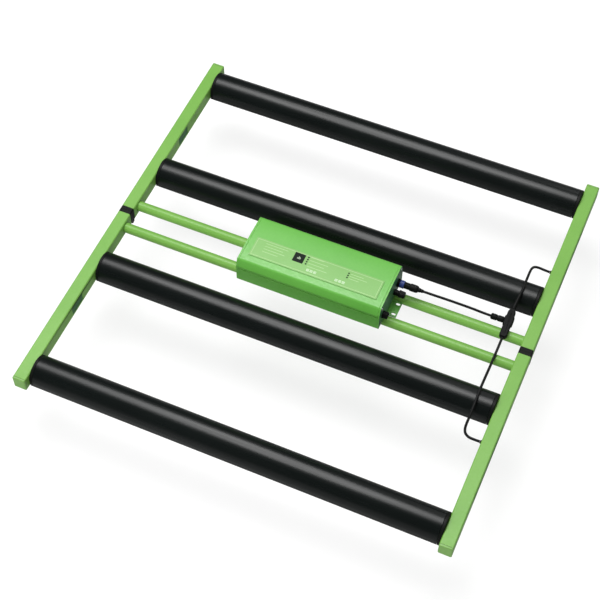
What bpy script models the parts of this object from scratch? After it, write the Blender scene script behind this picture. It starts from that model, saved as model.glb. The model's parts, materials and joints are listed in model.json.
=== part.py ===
"""Folding LED grow light: four half-round bars between two split rails, with a driver on two cross rods.

X runs along the bars, from left to right. Y runs along the rails, from the near half to the far half.
The light lies on its lens covers on the plane z = 0, with the light side down.
"""

import math

import bmesh
import bpy
from mathutils import Matrix, Vector

for old in list(bpy.data.objects):
    bpy.data.objects.remove(old, do_unlink=True)

# Driving dimensions, in metres.
TOUCH = 0.0003  # gap between two faces that touch on the real light

FRAME_WIDTH = 0.600
FRAME_LENGTH = 0.600

RAIL_WIDTH = 0.018
RAIL_HEIGHT = 0.0215
RAIL_WALL = 0.0015
RAIL_CORNER = 0.0012
RAIL_LIFT = 0.0040  # underside of the rails above the lens covers' undersides
RECESS_DEPTH = 0.0006
OUTER_RECESS_LENGTH = 0.110
OUTER_RECESS_PLACE = 0.170  # middle of the recess from the fold line
INNER_RECESS_LENGTH = 0.028
INNER_RECESS_PLACE = 0.160
RECESS_MARGIN = 0.0030  # rail left above and below a recess
WIRE_HOLE_RADIUS = 0.0045

CAP_HEAD = 0.0030
CAP_PLUG = 0.0100
CAP_CHAMFER = 0.0010

BAR_RADIUS = 0.0212
BAR_SKIRT = 0.0065  # straight side below the dome
BAR_LIFT = 0.0045  # underside of the housing above the lens covers' undersides
BAR_WALL = 0.0020
BAR_MARGIN = 0.030  # middle of the outer bars from the rails' ends
BAR_CAP = 0.0040
BAR_CAP_CHAMFER = 0.0006
CHANNEL_LIP = 0.0030
BOARD_THICKNESS = 0.0016
BOARD_MARGIN = 0.0017  # between the board and the channel's sides
LENS_WALL = 0.0016
LENS_SLOPE = 0.0024  # how far the lens cover's sides lean in at its underside
LENS_SHOULDER = 0.0035

ROD_DIAMETER = 0.0142
ROD_WALL = 0.0015
ROD_PLACE = 0.0206  # rod axis from the fold line
ROD_HEIGHT = 0.0140  # rod axis above the lens covers' undersides
ROD_GRIP = 0.0040  # length of rod inside each rail

HINGE_HEAD = 0.0052  # half width of the black band between the rail halves
HINGE_SPLIT = 0.00015  # half of the gap between the two leaves
TONGUE_GAP = 0.0011  # between a hinge leaf's tongue and the rod
KNUCKLE_RADIUS = 0.0034
KNUCKLE_SHARE = 0.48  # middle knuckle's share of the rail's width
PIN_RADIUS = 0.0015

DRIVER_LENGTH = 0.205
DRIVER_WIDTH = 0.085
DRIVER_HEIGHT = 0.0416
DRIVER_LIFT = 0.0013  # underside of the driver above the rods
DRIVER_WALL = 0.0020
DRIVER_CORNER = 0.0045
CROWN = 0.0012  # rise of the cover's arched top
COVER_LIP = 0.0040  # upright edge of the cover above the seam
COVER_LEAN = 0.0035  # how far the cover's sides lean in above that edge
SEAM_HEIGHT = 0.0245  # seam above the driver's underside
SEAM_GAP = 0.0014
TONGUE = 0.0012  # thickness of the tray's tongue inside the cover
TONGUE_REACH = 0.0040
END_PLATE = 0.0025
CIRCUIT_MARGIN = 0.0050

PANEL_LENGTH = 0.182
PANEL_WIDTH = 0.031
PANEL_OFFSET = -0.0115
PANEL_THICKNESS = 0.0005

STRAP_LENGTH = 0.2312
STRAP_GAP = 0.0007  # between the strap's edges and the rods
STRAP_THICKNESS = 0.0020
STRAP_STEP = 0.0049  # how far the strap's ends are bent down
STRAP_BEND = 0.0050  # length of the slope between the two levels
SLOT_WIDTH = 0.0038
SLOT_LENGTH = 0.0062
SLOT_SPACING = 0.0170
SLOT_EDGE = 0.0047  # slot centre from the strap's end

CLAMP_WIDTH = 0.014
CLAMP_THICKNESS = 0.0015
CLAMP_PLACE = 0.055
CLAMP_EAR = 0.0085

SOCKET_PLACE = (0.0245, 0.0186)  # y, and height above the driver's underside
SOCKET_RADIUS = 0.0060
SOCKET_LENGTH = 0.0030
SEAL_RADIUS = 0.0055
SEAL_LENGTH = 0.0060
PLUG_RADIUS = 0.0052
PLUG_LENGTH = 0.0192
KNOB_PLACE = (0.0115, 0.0146)
KNOB_RADIUS = 0.0052
KNOB_LENGTH = 0.0084
KNOB_SHAFT_RADIUS = 0.0020
BUSHING_RADIUS = 0.0042
BUSHING_LENGTH = 0.0065
INLET_PLACE = (-0.0300, 0.0186)
INLET_RADIUS = 0.0052
INLET_BORE = 0.0037
INLET_LENGTH = 0.0072
INLET_DEPTH = 0.0060

LEAD_DIAMETER = 0.0035
SPLITTER_CENTRE = (0.2554, 0.0317)
SPLITTER_LENGTH = 0.047
SPLITTER_WIDTH = 0.0104
SPLITTER_THICKNESS = 0.0080
SPLITTER_HUMP = 0.0013  # how far its sides stand out beside the plug
SPLITTER_HUMP_LENGTH = 0.0120
SPLITTER_TURN = math.radians(1.4)
SPLITTER_PLUG_RADIUS = 0.0044
SPLITTER_PLUG_LENGTH = 0.0175
SPLITTER_PLUG_OFFSET = 0.0035  # plug axis from the splitter's middle
GROMMET_RADIUS = 0.0029
GROMMET_NECK = 0.0023
GROMMET_FAR_PLACE = 0.1405
GROMMET_NEAR_PLACE = -0.1430
GROMMET_HEIGHT = 0.0148
GROMMET_HEAD = 0.0020

# Heights and places that follow from the dimensions above.
RAIL_BOTTOM = RAIL_LIFT
RAIL_TOP = RAIL_BOTTOM + RAIL_HEIGHT
RAIL_OUTSIDE = FRAME_WIDTH / 2
RAIL_INSIDE = RAIL_OUTSIDE - RAIL_WIDTH
RAIL_MIDDLE = RAIL_OUTSIDE - RAIL_WIDTH / 2
RAIL_START = HINGE_HEAD + TOUCH
OUTER_BAR_PLACE = FRAME_LENGTH / 2 - BAR_MARGIN
INNER_BAR_PLACE = OUTER_BAR_PLACE / 3  # the four bars are evenly spaced
RAIL_END = FRAME_LENGTH / 2 - CAP_HEAD - TOUCH
DOME_HEIGHT = BAR_LIFT + BAR_SKIRT
WEB_HEIGHT = DOME_HEIGHT - BAR_WALL
CHANNEL_HALF = BAR_RADIUS - CHANNEL_LIP
LENS_HALF = CHANNEL_HALF - TOUCH
BOARD_HALF = CHANNEL_HALF - BOARD_MARGIN
BOARD_BOTTOM = WEB_HEIGHT - TOUCH - BOARD_THICKNESS
BAR_END = RAIL_INSIDE - TOUCH
HOUSING_END = BAR_END - BAR_CAP - TOUCH
ROD_RADIUS = ROD_DIAMETER / 2
STRAP_HALF = ROD_PLACE - ROD_RADIUS - STRAP_GAP
DRIVER_BOTTOM = ROD_HEIGHT + ROD_RADIUS + DRIVER_LIFT
DRIVER_TOP = DRIVER_BOTTOM + DRIVER_HEIGHT
DRIVER_SEAM = DRIVER_BOTTOM + SEAM_HEIGHT
DRIVER_HALF = DRIVER_WIDTH / 2
COVER_RIM = DRIVER_SEAM + SEAM_GAP / 2
COVER_SHOULDER = COVER_RIM + COVER_LIP
DRIVER_END = DRIVER_LENGTH / 2
SHELL_END = DRIVER_END - END_PLATE - TOUCH
STRAP_TOP = DRIVER_BOTTOM - TOUCH
SPLITTER_BOTTOM = ROD_HEIGHT + ROD_RADIUS + TOUCH
SPLITTER_MIDDLE = SPLITTER_BOTTOM + SPLITTER_THICKNESS / 2

# Materials: colour, roughness, metallic.
FINISHES = {
    "green_powder_coat": ((0.26, 0.53, 0.13), 0.38, 0.0),
    "green_panel": ((0.42, 0.68, 0.26), 0.45, 0.0),
    "black_anodised": ((0.012, 0.013, 0.013), 0.34, 0.6),
    "black_plastic": ((0.014, 0.014, 0.015), 0.45, 0.0),
    "black_rubber": ((0.018, 0.018, 0.018), 0.60, 0.0),
    "blue_seal": ((0.06, 0.09, 0.30), 0.50, 0.0),
    "steel": ((0.55, 0.56, 0.58), 0.30, 1.0),
    "lens": ((0.86, 0.88, 0.88), 0.30, 0.0),
    "board_white": ((0.90, 0.90, 0.88), 0.50, 0.0),
    "potting_grey": ((0.20, 0.20, 0.21), 0.70, 0.0),
}


def make_material(name):
    colour, roughness, metallic = FINISHES[name]
    made = bpy.data.materials.new(name)
    made.use_nodes = True
    shader = made.node_tree.nodes["Principled BSDF"]
    shader.inputs["Base Color"].default_value = (*colour, 1.0)
    shader.inputs["Roughness"].default_value = roughness
    shader.inputs["Metallic"].default_value = metallic
    return made


MATERIALS = {name: make_material(name) for name in FINISHES}


def add_object(name, bm, finish, smooth=False):
    """The bmesh as a named object with its material."""
    bmesh.ops.recalc_face_normals(bm, faces=bm.faces)
    mesh = bpy.data.meshes.new(name)
    bm.to_mesh(mesh)
    bm.free()
    if finish:
        mesh.materials.append(MATERIALS[finish])
    if smooth:
        mesh.shade_smooth()
        mesh.set_sharp_from_angle(angle=math.radians(35))
    obj = bpy.data.objects.new(name, mesh)
    bpy.context.scene.collection.objects.link(obj)
    return obj


def on_axis(axis, along, point):
    """A point of an outline that lies across the axis: (y, z) on X, (x, z) on Y and (x, y) on Z."""
    a, b = point
    return {"X": (along, a, b), "Y": (a, along, b), "Z": (a, b, along)}[axis]


def loft(sections, axis):
    """A closed solid through (place, outline) sections that have the same number of points."""
    bm = bmesh.new()
    loops = [[bm.verts.new(on_axis(axis, along, p)) for p in outline] for along, outline in sections]
    for low, high in zip(loops, loops[1:]):
        for i in range(len(low)):
            j = (i + 1) % len(low)
            bm.faces.new((low[i], low[j], high[j], high[i]))
    bm.faces.new(loops[0])
    bm.faces.new(loops[-1])
    return bm


def prism(outline, axis, start, end):
    bm = bmesh.new()
    face = bm.faces.new([bm.verts.new(on_axis(axis, start, p)) for p in outline])
    grown = bmesh.ops.extrude_face_region(bm, geom=[face])["geom"]
    moved = [v for v in grown if isinstance(v, bmesh.types.BMVert)]
    bmesh.ops.translate(bm, verts=moved, vec=on_axis(axis, end - start, (0, 0)))
    return bm


def tube(outer, inner, axis, start, end):
    """A straight tube, open at both ends, whose two outlines have the same number of points."""
    bm = bmesh.new()
    rings = []
    for outline in (outer, inner):
        for along in (start, end):
            rings.append([bm.verts.new(on_axis(axis, along, p)) for p in outline])
    outer_start, outer_end, inner_start, inner_end = rings
    for one, other in (
        (outer_start, outer_end),
        (inner_start, inner_end),
        (outer_start, inner_start),
        (outer_end, inner_end),
    ):
        for i in range(len(one)):
            j = (i + 1) % len(one)
            bm.faces.new((one[i], one[j], other[j], other[i]))
    return bm


def turned(profile, centre, sides=20, closed=False):
    """A profile of (distance along X, radius) spun round the axis through centre = (x, y, z)."""
    bm = bmesh.new()
    verts = [bm.verts.new((along, 0, radius)) for along, radius in profile]
    pairs = list(zip(verts, verts[1:]))
    if closed:
        pairs.append((verts[-1], verts[0]))
    edges = [bm.edges.new(pair) for pair in pairs]
    bmesh.ops.spin(
        bm,
        geom=verts + edges,
        cent=(0, 0, 0),
        axis=(1, 0, 0),
        angle=2 * math.pi,
        steps=sides,
        use_merge=True,
    )
    bmesh.ops.remove_doubles(bm, verts=bm.verts, dist=1e-6)
    bmesh.ops.translate(bm, verts=bm.verts, vec=centre)
    return bm


def circle(a, b, radius, sides=24):
    steps = [2 * math.pi * i / sides for i in range(sides)]
    return [(a + radius * math.cos(t), b + radius * math.sin(t)) for t in steps]


def arc(a, b, radius, start, end, steps):
    """Points on an arc, with its two ends, from start to end in degrees."""
    turns = [math.radians(start + (end - start) * i / steps) for i in range(steps + 1)]
    return [(a + radius * math.cos(t), b + radius * math.sin(t)) for t in turns]


def cut_box(a0, a1, b0, b1, corner=0.0):
    """A rectangle, with its corners cut off where corner is given."""
    if not corner:
        return [(a0, b0), (a1, b0), (a1, b1), (a0, b1)]
    c = corner
    return [
        (a0 + c, b0), (a1 - c, b0), (a1, b0 + c), (a1, b1 - c),
        (a1 - c, b1), (a0 + c, b1), (a0, b1 - c), (a0, b0 + c),
    ]


def shape_with(target, cutter_bm, name, operation="DIFFERENCE"):
    """Cuts the cutter out of the target, or joins it on, by a Boolean modifier."""
    cutter = add_object(name, cutter_bm, None)
    cutter.hide_render = True
    cutter.display_type = "WIRE"
    boolean = target.modifiers.new(name, "BOOLEAN")
    boolean.operation = operation
    boolean.object = cutter


# Rails: box tubes, split at the fold line. SIDES and HALVES give the direction outwards from the middle.
SIDES = {"left": -1, "right": 1}
HALVES = {"far": 1, "near": -1}
GROMMET_PLACES = {"far": GROMMET_FAR_PLACE, "near": GROMMET_NEAR_PLACE}


def rail_section(side, inset=0.0):
    """The rail's outline across Y, drawn in by an inset."""
    corner = max(RAIL_CORNER - inset / 2, 0.0004)
    low, high = sorted((side * (RAIL_INSIDE + inset), side * (RAIL_OUTSIDE - inset)))
    return cut_box(low, high, RAIL_BOTTOM + inset, RAIL_TOP - inset, corner)


def drill_inner_wall(rail, side, y, z, radius, name):
    reach = ROD_GRIP + TOUCH
    start, end = sorted((side * (RAIL_INSIDE - reach), side * (RAIL_INSIDE + reach)))
    shape_with(rail, prism(circle(y, z, radius, 20), "X", start, end), name)


def sink_recess(rail, face_x, y, length, name):
    half = length / 2
    outline = cut_box(y - half, y + half, RAIL_BOTTOM + RECESS_MARGIN, RAIL_TOP - RECESS_MARGIN)
    shape_with(rail, prism(outline, "X", face_x - RECESS_DEPTH, face_x + RECESS_DEPTH), name)


def add_rails():
    for side_name, side in SIDES.items():
        for half_name, half in HALVES.items():
            tag = f"{side_name}_{half_name}"
            start, end = sorted((half * RAIL_START, half * RAIL_END))
            rail_bm = tube(rail_section(side), rail_section(side, RAIL_WALL), "Y", start, end)
            rail = add_object(f"rail_{tag}", rail_bm, "green_powder_coat")
            rod_hole = ROD_RADIUS + TOUCH
            drill_inner_wall(rail, side, half * ROD_PLACE, ROD_HEIGHT, rod_hole, f"cut_rod_{tag}")
            outer_face = side * RAIL_OUTSIDE
            sink_recess(rail, outer_face, half * OUTER_RECESS_PLACE, OUTER_RECESS_LENGTH, f"cut_outer_{tag}")
            if side_name == "left":
                inner_face = side * RAIL_INSIDE
                place = half * INNER_RECESS_PLACE
                sink_recess(rail, inner_face, place, INNER_RECESS_LENGTH, f"cut_inner_{tag}")
            else:
                place = GROMMET_PLACES[half_name]
                hole = GROMMET_NECK + TOUCH
                drill_inner_wall(rail, side, place, GROMMET_HEIGHT, hole, f"cut_grommet_{tag}")
            for bar_place in (INNER_BAR_PLACE, OUTER_BAR_PLACE):
                name = f"cut_wire_{tag}_{bar_place}"
                height = (RAIL_BOTTOM + RAIL_TOP) / 2
                drill_inner_wall(rail, side, half * bar_place, height, WIRE_HOLE_RADIUS, name)


def add_end_caps():
    for side_name, side in SIDES.items():
        for half_name, half in HALVES.items():
            outside = FRAME_LENGTH / 2
            head = outside - CAP_HEAD
            sections = [
                (half * outside, rail_section(side, CAP_CHAMFER)),
                (half * (outside - CAP_CHAMFER), rail_section(side)),
                (half * head, rail_section(side)),
                (half * head, rail_section(side, RAIL_WALL + TOUCH)),
                (half * (head - CAP_PLUG), rail_section(side, RAIL_WALL + TOUCH)),
            ]
            add_object(f"end_cap_{side_name}_{half_name}", loft(sections, "Y"), "green_powder_coat")


def add_cross_rods():
    reach = RAIL_INSIDE + ROD_GRIP
    for half_name, half in HALVES.items():
        outer = circle(half * ROD_PLACE, ROD_HEIGHT, ROD_RADIUS)
        inner = circle(half * ROD_PLACE, ROD_HEIGHT, ROD_RADIUS - ROD_WALL)
        add_object(f"cross_rod_{half_name}", tube(outer, inner, "X", -reach, reach), "green_powder_coat", True)


# Hinges: each leaf has a tongue in the rail and a head as high as the rail, with knuckles on its underside.
def knuckle_spans():
    """Three stretches across the rail, from inside to outside: far leaf, near leaf, far leaf."""
    middle = RAIL_WIDTH * KNUCKLE_SHARE
    side = (RAIL_WIDTH - middle) / 2
    inner_end = RAIL_INSIDE + side
    outer_start = RAIL_OUTSIDE - side
    return [
        (RAIL_INSIDE, inner_end - TOUCH),
        (inner_end, outer_start),
        (outer_start + TOUCH, RAIL_OUTSIDE),
    ]


def across_rail(side, span, spare=0.0):
    """The two ends of a stretch across the rail, lengthened at both ends by spare."""
    return sorted((side * (span[0] - spare), side * (span[1] + spare)))


def add_hinges():
    inner_far, middle_near, outer_far = knuckle_spans()
    own = {"far": [inner_far, outer_far], "near": [middle_near]}
    other = {"far": [middle_near], "near": [inner_far, outer_far]}
    round_clear = KNUCKLE_RADIUS + TOUCH
    tongue_end = ROD_PLACE - ROD_RADIUS - TONGUE_GAP
    for side_name, side in SIDES.items():
        for half_name, half in HALVES.items():
            tag = f"{side_name}_{half_name}"
            sections = [
                (half * HINGE_SPLIT, rail_section(side)),
                (half * HINGE_HEAD, rail_section(side)),
                (half * HINGE_HEAD, rail_section(side, RAIL_WALL + TOUCH)),
                (half * tongue_end, rail_section(side, RAIL_WALL + TOUCH)),
            ]
            leaf = add_object(f"hinge_leaf_{tag}", loft(sections, "Y"), "black_plastic", True)
            for i, span in enumerate(other[half_name]):
                start, end = across_rail(side, span, TOUCH)
                room = prism(circle(0, RAIL_BOTTOM, round_clear), "X", start, end)
                shape_with(leaf, room, f"cut_knuckle_{tag}_{i}")
            for i, span in enumerate(own[half_name]):
                start, end = across_rail(side, span)
                knuckle = prism(circle(0, RAIL_BOTTOM, KNUCKLE_RADIUS), "X", start, end)
                shape_with(leaf, knuckle, f"join_knuckle_{tag}_{i}", "UNION")
            start, end = across_rail(side, (RAIL_INSIDE, RAIL_OUTSIDE), TOUCH)
            bore = prism(circle(0, RAIL_BOTTOM, PIN_RADIUS + TOUCH, 16), "X", start, end)
            shape_with(leaf, bore, f"cut_pin_{tag}")
        start, end = across_rail(side, (RAIL_INSIDE, RAIL_OUTSIDE), -TOUCH)
        pin = prism(circle(0, RAIL_BOTTOM, PIN_RADIUS, 16), "X", start, end)
        add_object(f"hinge_pin_{side_name}", pin, "steel", True)


# LED bars, numbered from the far one to the near one.
BAR_PLACES = [OUTER_BAR_PLACE, INNER_BAR_PLACE, -INNER_BAR_PLACE, -OUTER_BAR_PLACE]


def dome(y, radius, steps=20):
    return arc(y, DOME_HEIGHT, radius, 0, 180, steps)


def housing_outline(y):
    """Dome and skirt, with the channel for the board and the lens cover open to below."""
    return [
        *dome(y, BAR_RADIUS),
        (y - BAR_RADIUS, BAR_LIFT),
        (y - CHANNEL_HALF, BAR_LIFT),
        (y - CHANNEL_HALF, WEB_HEIGHT),
        (y + CHANNEL_HALF, WEB_HEIGHT),
        (y + CHANNEL_HALF, BAR_LIFT),
        (y + BAR_RADIUS, BAR_LIFT),
    ]


def lens_outline(y):
    """The lens cover's U-shaped section: sides, sloped shoulders and a flat underside."""
    top = BOARD_BOTTOM - TOUCH
    foot = LENS_HALF - LENS_SLOPE
    inner_side = LENS_HALF - LENS_WALL
    inner_foot = foot - LENS_WALL / 2
    return [
        (y - LENS_HALF, top),
        (y - LENS_HALF, LENS_SHOULDER),
        (y - foot, 0.0),
        (y + foot, 0.0),
        (y + LENS_HALF, LENS_SHOULDER),
        (y + LENS_HALF, top),
        (y + inner_side, top),
        (y + inner_side, LENS_SHOULDER + LENS_WALL / 2),
        (y + inner_foot, LENS_WALL),
        (y - inner_foot, LENS_WALL),
        (y - inner_side, LENS_SHOULDER + LENS_WALL / 2),
        (y - inner_side, top),
    ]


def bar_cap_outline(y, inset):
    """The bar's whole outline, dome and lens cover, drawn in by an inset."""
    foot = LENS_HALF - LENS_SLOPE
    return [
        *dome(y, BAR_RADIUS - inset),
        (y - BAR_RADIUS + inset, BAR_LIFT + inset),
        (y - LENS_HALF, BAR_LIFT + inset),
        (y - foot + inset, BAR_CAP_CHAMFER + inset),
        (y + foot - inset, BAR_CAP_CHAMFER + inset),
        (y + LENS_HALF, BAR_LIFT + inset),
        (y + BAR_RADIUS - inset, BAR_LIFT + inset),
    ]


def add_bars():
    for number, y in enumerate(BAR_PLACES, 1):
        housing_bm = prism(housing_outline(y), "X", -HOUSING_END, HOUSING_END)
        housing = add_object(f"bar_{number}_housing", housing_bm, "black_anodised", True)
        reach = HOUSING_END + BAR_WALL
        hollow = prism(dome(y, BAR_RADIUS - BAR_WALL), "X", -reach, reach)
        shape_with(housing, hollow, f"cut_hollow_{number}")
        board = cut_box(y - BOARD_HALF, y + BOARD_HALF, BOARD_BOTTOM, BOARD_BOTTOM + BOARD_THICKNESS)
        board_bm = prism(board, "X", -HOUSING_END, HOUSING_END)
        add_object(f"bar_{number}_led_board", board_bm, "board_white")
        lens_bm = prism(lens_outline(y), "X", -HOUSING_END, HOUSING_END)
        add_object(f"bar_{number}_lens", lens_bm, "lens")
        for side_name, side in SIDES.items():
            sections = [
                (side * BAR_END, bar_cap_outline(y, BAR_CAP_CHAMFER)),
                (side * (BAR_END - BAR_CAP_CHAMFER), bar_cap_outline(y, 0)),
                (side * (BAR_END - BAR_CAP), bar_cap_outline(y, 0)),
            ]
            add_object(f"bar_{number}_cap_{side_name}", loft(sections, "X"), "black_plastic", True)


# Driver: tray and cover with end plates, lying over the rods.
def arched_top(inset=0.0, steps=10):
    """The cover's top from left to right: a corner, the arch and the other corner."""
    flat = DRIVER_HALF - COVER_LEAN - DRIVER_CORNER
    centre = DRIVER_TOP - CROWN - DRIVER_CORNER
    lean = math.degrees(math.atan2(COVER_LEAN, centre - COVER_SHOULDER))
    radius = DRIVER_CORNER - inset
    left = arc(-flat, centre, radius, 180 - lean, 90, 4)
    right = arc(flat, centre, radius, 90, lean, 4)
    ys = [flat * (2 * i / steps - 1) for i in range(1, steps)]
    return left + [(y, arch_height(y) - inset) for y in ys] + right


def arch_height(y):
    flat = DRIVER_HALF - COVER_LEAN - DRIVER_CORNER
    return DRIVER_TOP - CROWN * (y / flat) ** 2


def tray_outline():
    inner = DRIVER_HALF - DRIVER_WALL
    tongue_out = inner - TOUCH
    tongue_in = tongue_out - TONGUE
    rim = DRIVER_SEAM - SEAM_GAP / 2
    wall = [
        (inner, DRIVER_BOTTOM + DRIVER_WALL),
        (inner, DRIVER_SEAM - TONGUE_REACH),
        (tongue_in, DRIVER_SEAM - TONGUE_REACH),
        (tongue_in, DRIVER_SEAM + TONGUE_REACH),
        (tongue_out, DRIVER_SEAM + TONGUE_REACH),
        (tongue_out, rim),
        (DRIVER_HALF, rim),
        (DRIVER_HALF, DRIVER_BOTTOM),
    ]
    return wall + [(-y, z) for y, z in reversed(wall)]


def cover_outline():
    inner = DRIVER_HALF - DRIVER_WALL
    outside = [(-DRIVER_HALF, COVER_RIM), (-DRIVER_HALF, COVER_SHOULDER), *arched_top()]
    outside += [(DRIVER_HALF, COVER_SHOULDER), (DRIVER_HALF, COVER_RIM)]
    inside = [(-inner, COVER_RIM), (-inner, COVER_SHOULDER), *arched_top(DRIVER_WALL)]
    inside += [(inner, COVER_SHOULDER), (inner, COVER_RIM)]
    return outside + inside[::-1]


def end_plate_outline():
    left = [(-DRIVER_HALF, DRIVER_BOTTOM), (-DRIVER_HALF, COVER_SHOULDER)]
    right = [(DRIVER_HALF, COVER_SHOULDER), (DRIVER_HALF, DRIVER_BOTTOM)]
    return left + arched_top() + right


def add_driver():
    tray = prism(tray_outline(), "X", -SHELL_END, SHELL_END)
    add_object("driver_tray", tray, "green_powder_coat", True)
    cover = prism(cover_outline(), "X", -SHELL_END, SHELL_END)
    add_object("driver_cover", cover, "green_powder_coat", True)
    for side_name, side in SIDES.items():
        start, end = sorted((side * (DRIVER_END - END_PLATE), side * DRIVER_END))
        plate = prism(end_plate_outline(), "X", start, end)
        add_object(f"driver_end_plate_{side_name}", plate, "green_powder_coat")
    inner = DRIVER_HALF - DRIVER_WALL - TONGUE - CIRCUIT_MARGIN / 2
    low = DRIVER_BOTTOM + DRIVER_WALL + TOUCH
    high = DRIVER_TOP - CROWN - DRIVER_WALL - CIRCUIT_MARGIN
    block = cut_box(-inner, inner, low, high, CIRCUIT_MARGIN / 2)
    reach = SHELL_END - CIRCUIT_MARGIN
    add_object("power_circuit", prism(block, "X", -reach, reach), "potting_grey")


def add_driver_panel():
    steps = 6
    ys = [PANEL_OFFSET + PANEL_WIDTH * (i / steps - 0.5) for i in range(steps + 1)]
    lower = [(y, arch_height(y) + TOUCH) for y in ys]
    upper = [(y, z + PANEL_THICKNESS) for y, z in lower]
    outline = lower + upper[::-1]
    add_object("driver_panel", prism(outline, "X", -PANEL_LENGTH / 2, PANEL_LENGTH / 2), "green_panel")


def slot_outline(x, y):
    """A slot with round ends that runs along X."""
    radius = SLOT_WIDTH / 2
    reach = SLOT_LENGTH / 2 - radius
    return arc(x + reach, y, radius, -90, 90, 8) + arc(x - reach, y, radius, 90, 270, 8)


def strap_profile(thickness):
    """Half of the bent strap from its middle to its end, as (x, z) at a depth under its top."""
    fold = thickness / 2  # keeps the sheet's thickness on the slope
    low = STRAP_TOP - STRAP_STEP - thickness
    return [
        (DRIVER_END - STRAP_BEND - fold, STRAP_TOP - thickness),
        (DRIVER_END - fold, low),
        (STRAP_LENGTH / 2, low),
    ]


def add_mounting_strap():
    """A sheet strap flat under the tray, whose ends are bent down between the rods."""
    upper = strap_profile(0.0)
    lower = strap_profile(STRAP_THICKNESS)
    right = upper + lower[::-1]
    outline = right + [(-x, z) for x, z in reversed(right)]
    bent = prism(outline, "Y", -STRAP_HALF, STRAP_HALF)
    strap = add_object("mounting_strap", bent, "green_powder_coat")
    top = STRAP_TOP - STRAP_STEP + STRAP_THICKNESS
    for side_name, side in SIDES.items():
        for row in (-1, 1):
            slot = slot_outline(side * (STRAP_LENGTH / 2 - SLOT_EDGE), row * SLOT_SPACING / 2)
            cutter = prism(slot, "Z", top - 4 * STRAP_THICKNESS, top)
            shape_with(strap, cutter, f"cut_slot_{side_name}_{row}")


def add_rod_clamps():
    """Strips bent under the far rod, with one ear under the strap and one under the tray."""
    inner = ROD_RADIUS + TOUCH
    outer = inner + CLAMP_THICKNESS
    strap_ear = STRAP_TOP - STRAP_THICKNESS - TOUCH
    tray_ear = DRIVER_BOTTOM - TOUCH
    outline = [
        (ROD_PLACE - inner, strap_ear),
        (ROD_PLACE - outer - CLAMP_EAR, strap_ear),
        (ROD_PLACE - outer - CLAMP_EAR, strap_ear - CLAMP_THICKNESS),
        (ROD_PLACE - outer, strap_ear - CLAMP_THICKNESS),
        *arc(ROD_PLACE, ROD_HEIGHT, outer, 180, 360, 12),
        (ROD_PLACE + outer, tray_ear - CLAMP_THICKNESS),
        (ROD_PLACE + outer + CLAMP_EAR, tray_ear - CLAMP_THICKNESS),
        (ROD_PLACE + outer + CLAMP_EAR, tray_ear),
        (ROD_PLACE + inner, tray_ear),
        *arc(ROD_PLACE, ROD_HEIGHT, inner, 360, 180, 12),
    ]
    for side_name, side in SIDES.items():
        middle = side * CLAMP_PLACE
        clamp = prism(outline, "X", middle - CLAMP_WIDTH / 2, middle + CLAMP_WIDTH / 2)
        add_object(f"rod_clamp_{side_name}", clamp, "green_powder_coat", True)


# Fittings on the driver's right end.
def on_end_plate(place, out=0.0):
    """A point on the right end plate, or out beyond it."""
    return (DRIVER_END + TOUCH + out, place[0], DRIVER_BOTTOM + place[1])


def add_output_fittings():
    r = SOCKET_RADIUS
    socket = [(0, 0), (0, r), (SOCKET_LENGTH * 0.7, r), (SOCKET_LENGTH, r * 0.92), (SOCKET_LENGTH, 0)]
    add_object("output_socket", turned(socket, on_end_plate(SOCKET_PLACE)), "black_plastic", True)
    seal_start = SOCKET_LENGTH + TOUCH
    r = SEAL_RADIUS
    seal = [
        (0, 0), (0, r * 0.94), (SEAL_LENGTH * 0.2, r),
        (SEAL_LENGTH * 0.8, r), (SEAL_LENGTH, r * 0.94), (SEAL_LENGTH, 0),
    ]
    add_object("seal_ring", turned(seal, on_end_plate(SOCKET_PLACE, seal_start)), "blue_seal", True)
    plug_start = seal_start + SEAL_LENGTH + TOUCH
    r = PLUG_RADIUS
    plug = [(0, 0), (0, r), (PLUG_LENGTH * 0.92, r), (PLUG_LENGTH, r * 0.75), (PLUG_LENGTH, 0)]
    add_object("output_plug", turned(plug, on_end_plate(SOCKET_PLACE, plug_start)), "black_plastic", True)


def add_dimmer():
    """A bushing with a bore, and a knob whose shaft turns in it. The knob's origin is on its axis."""
    bore = KNOB_SHAFT_RADIUS + TOUCH
    r = BUSHING_RADIUS
    ring = [(0, bore), (0, r), (BUSHING_LENGTH, r * 0.9), (BUSHING_LENGTH, bore)]
    add_object("dimmer_bushing", turned(ring, on_end_plate(KNOB_PLACE), closed=True), "black_plastic", True)
    r = KNOB_RADIUS
    start = -BUSHING_LENGTH * 0.8
    knob = [
        (start, 0), (start, KNOB_SHAFT_RADIUS), (0, KNOB_SHAFT_RADIUS), (0, r * 0.96),
        (KNOB_LENGTH * 0.12, r), (KNOB_LENGTH * 0.85, r * 0.94), (KNOB_LENGTH, r * 0.8), (KNOB_LENGTH, 0),
    ]
    made = add_object("dimmer_knob", turned(knob, (0, 0, 0)), "black_plastic", True)
    made.location = on_end_plate(KNOB_PLACE, BUSHING_LENGTH + TOUCH)


def add_mains_inlet():
    r = INLET_RADIUS
    cup = [
        (0, 0), (0, r), (INLET_LENGTH * 0.85, r), (INLET_LENGTH, r * 0.93),
        (INLET_LENGTH, INLET_BORE), (INLET_LENGTH - INLET_DEPTH, INLET_BORE), (INLET_LENGTH - INLET_DEPTH, 0),
    ]
    add_object("mains_inlet", turned(cup, on_end_plate(INLET_PLACE)), "black_plastic", True)


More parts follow.
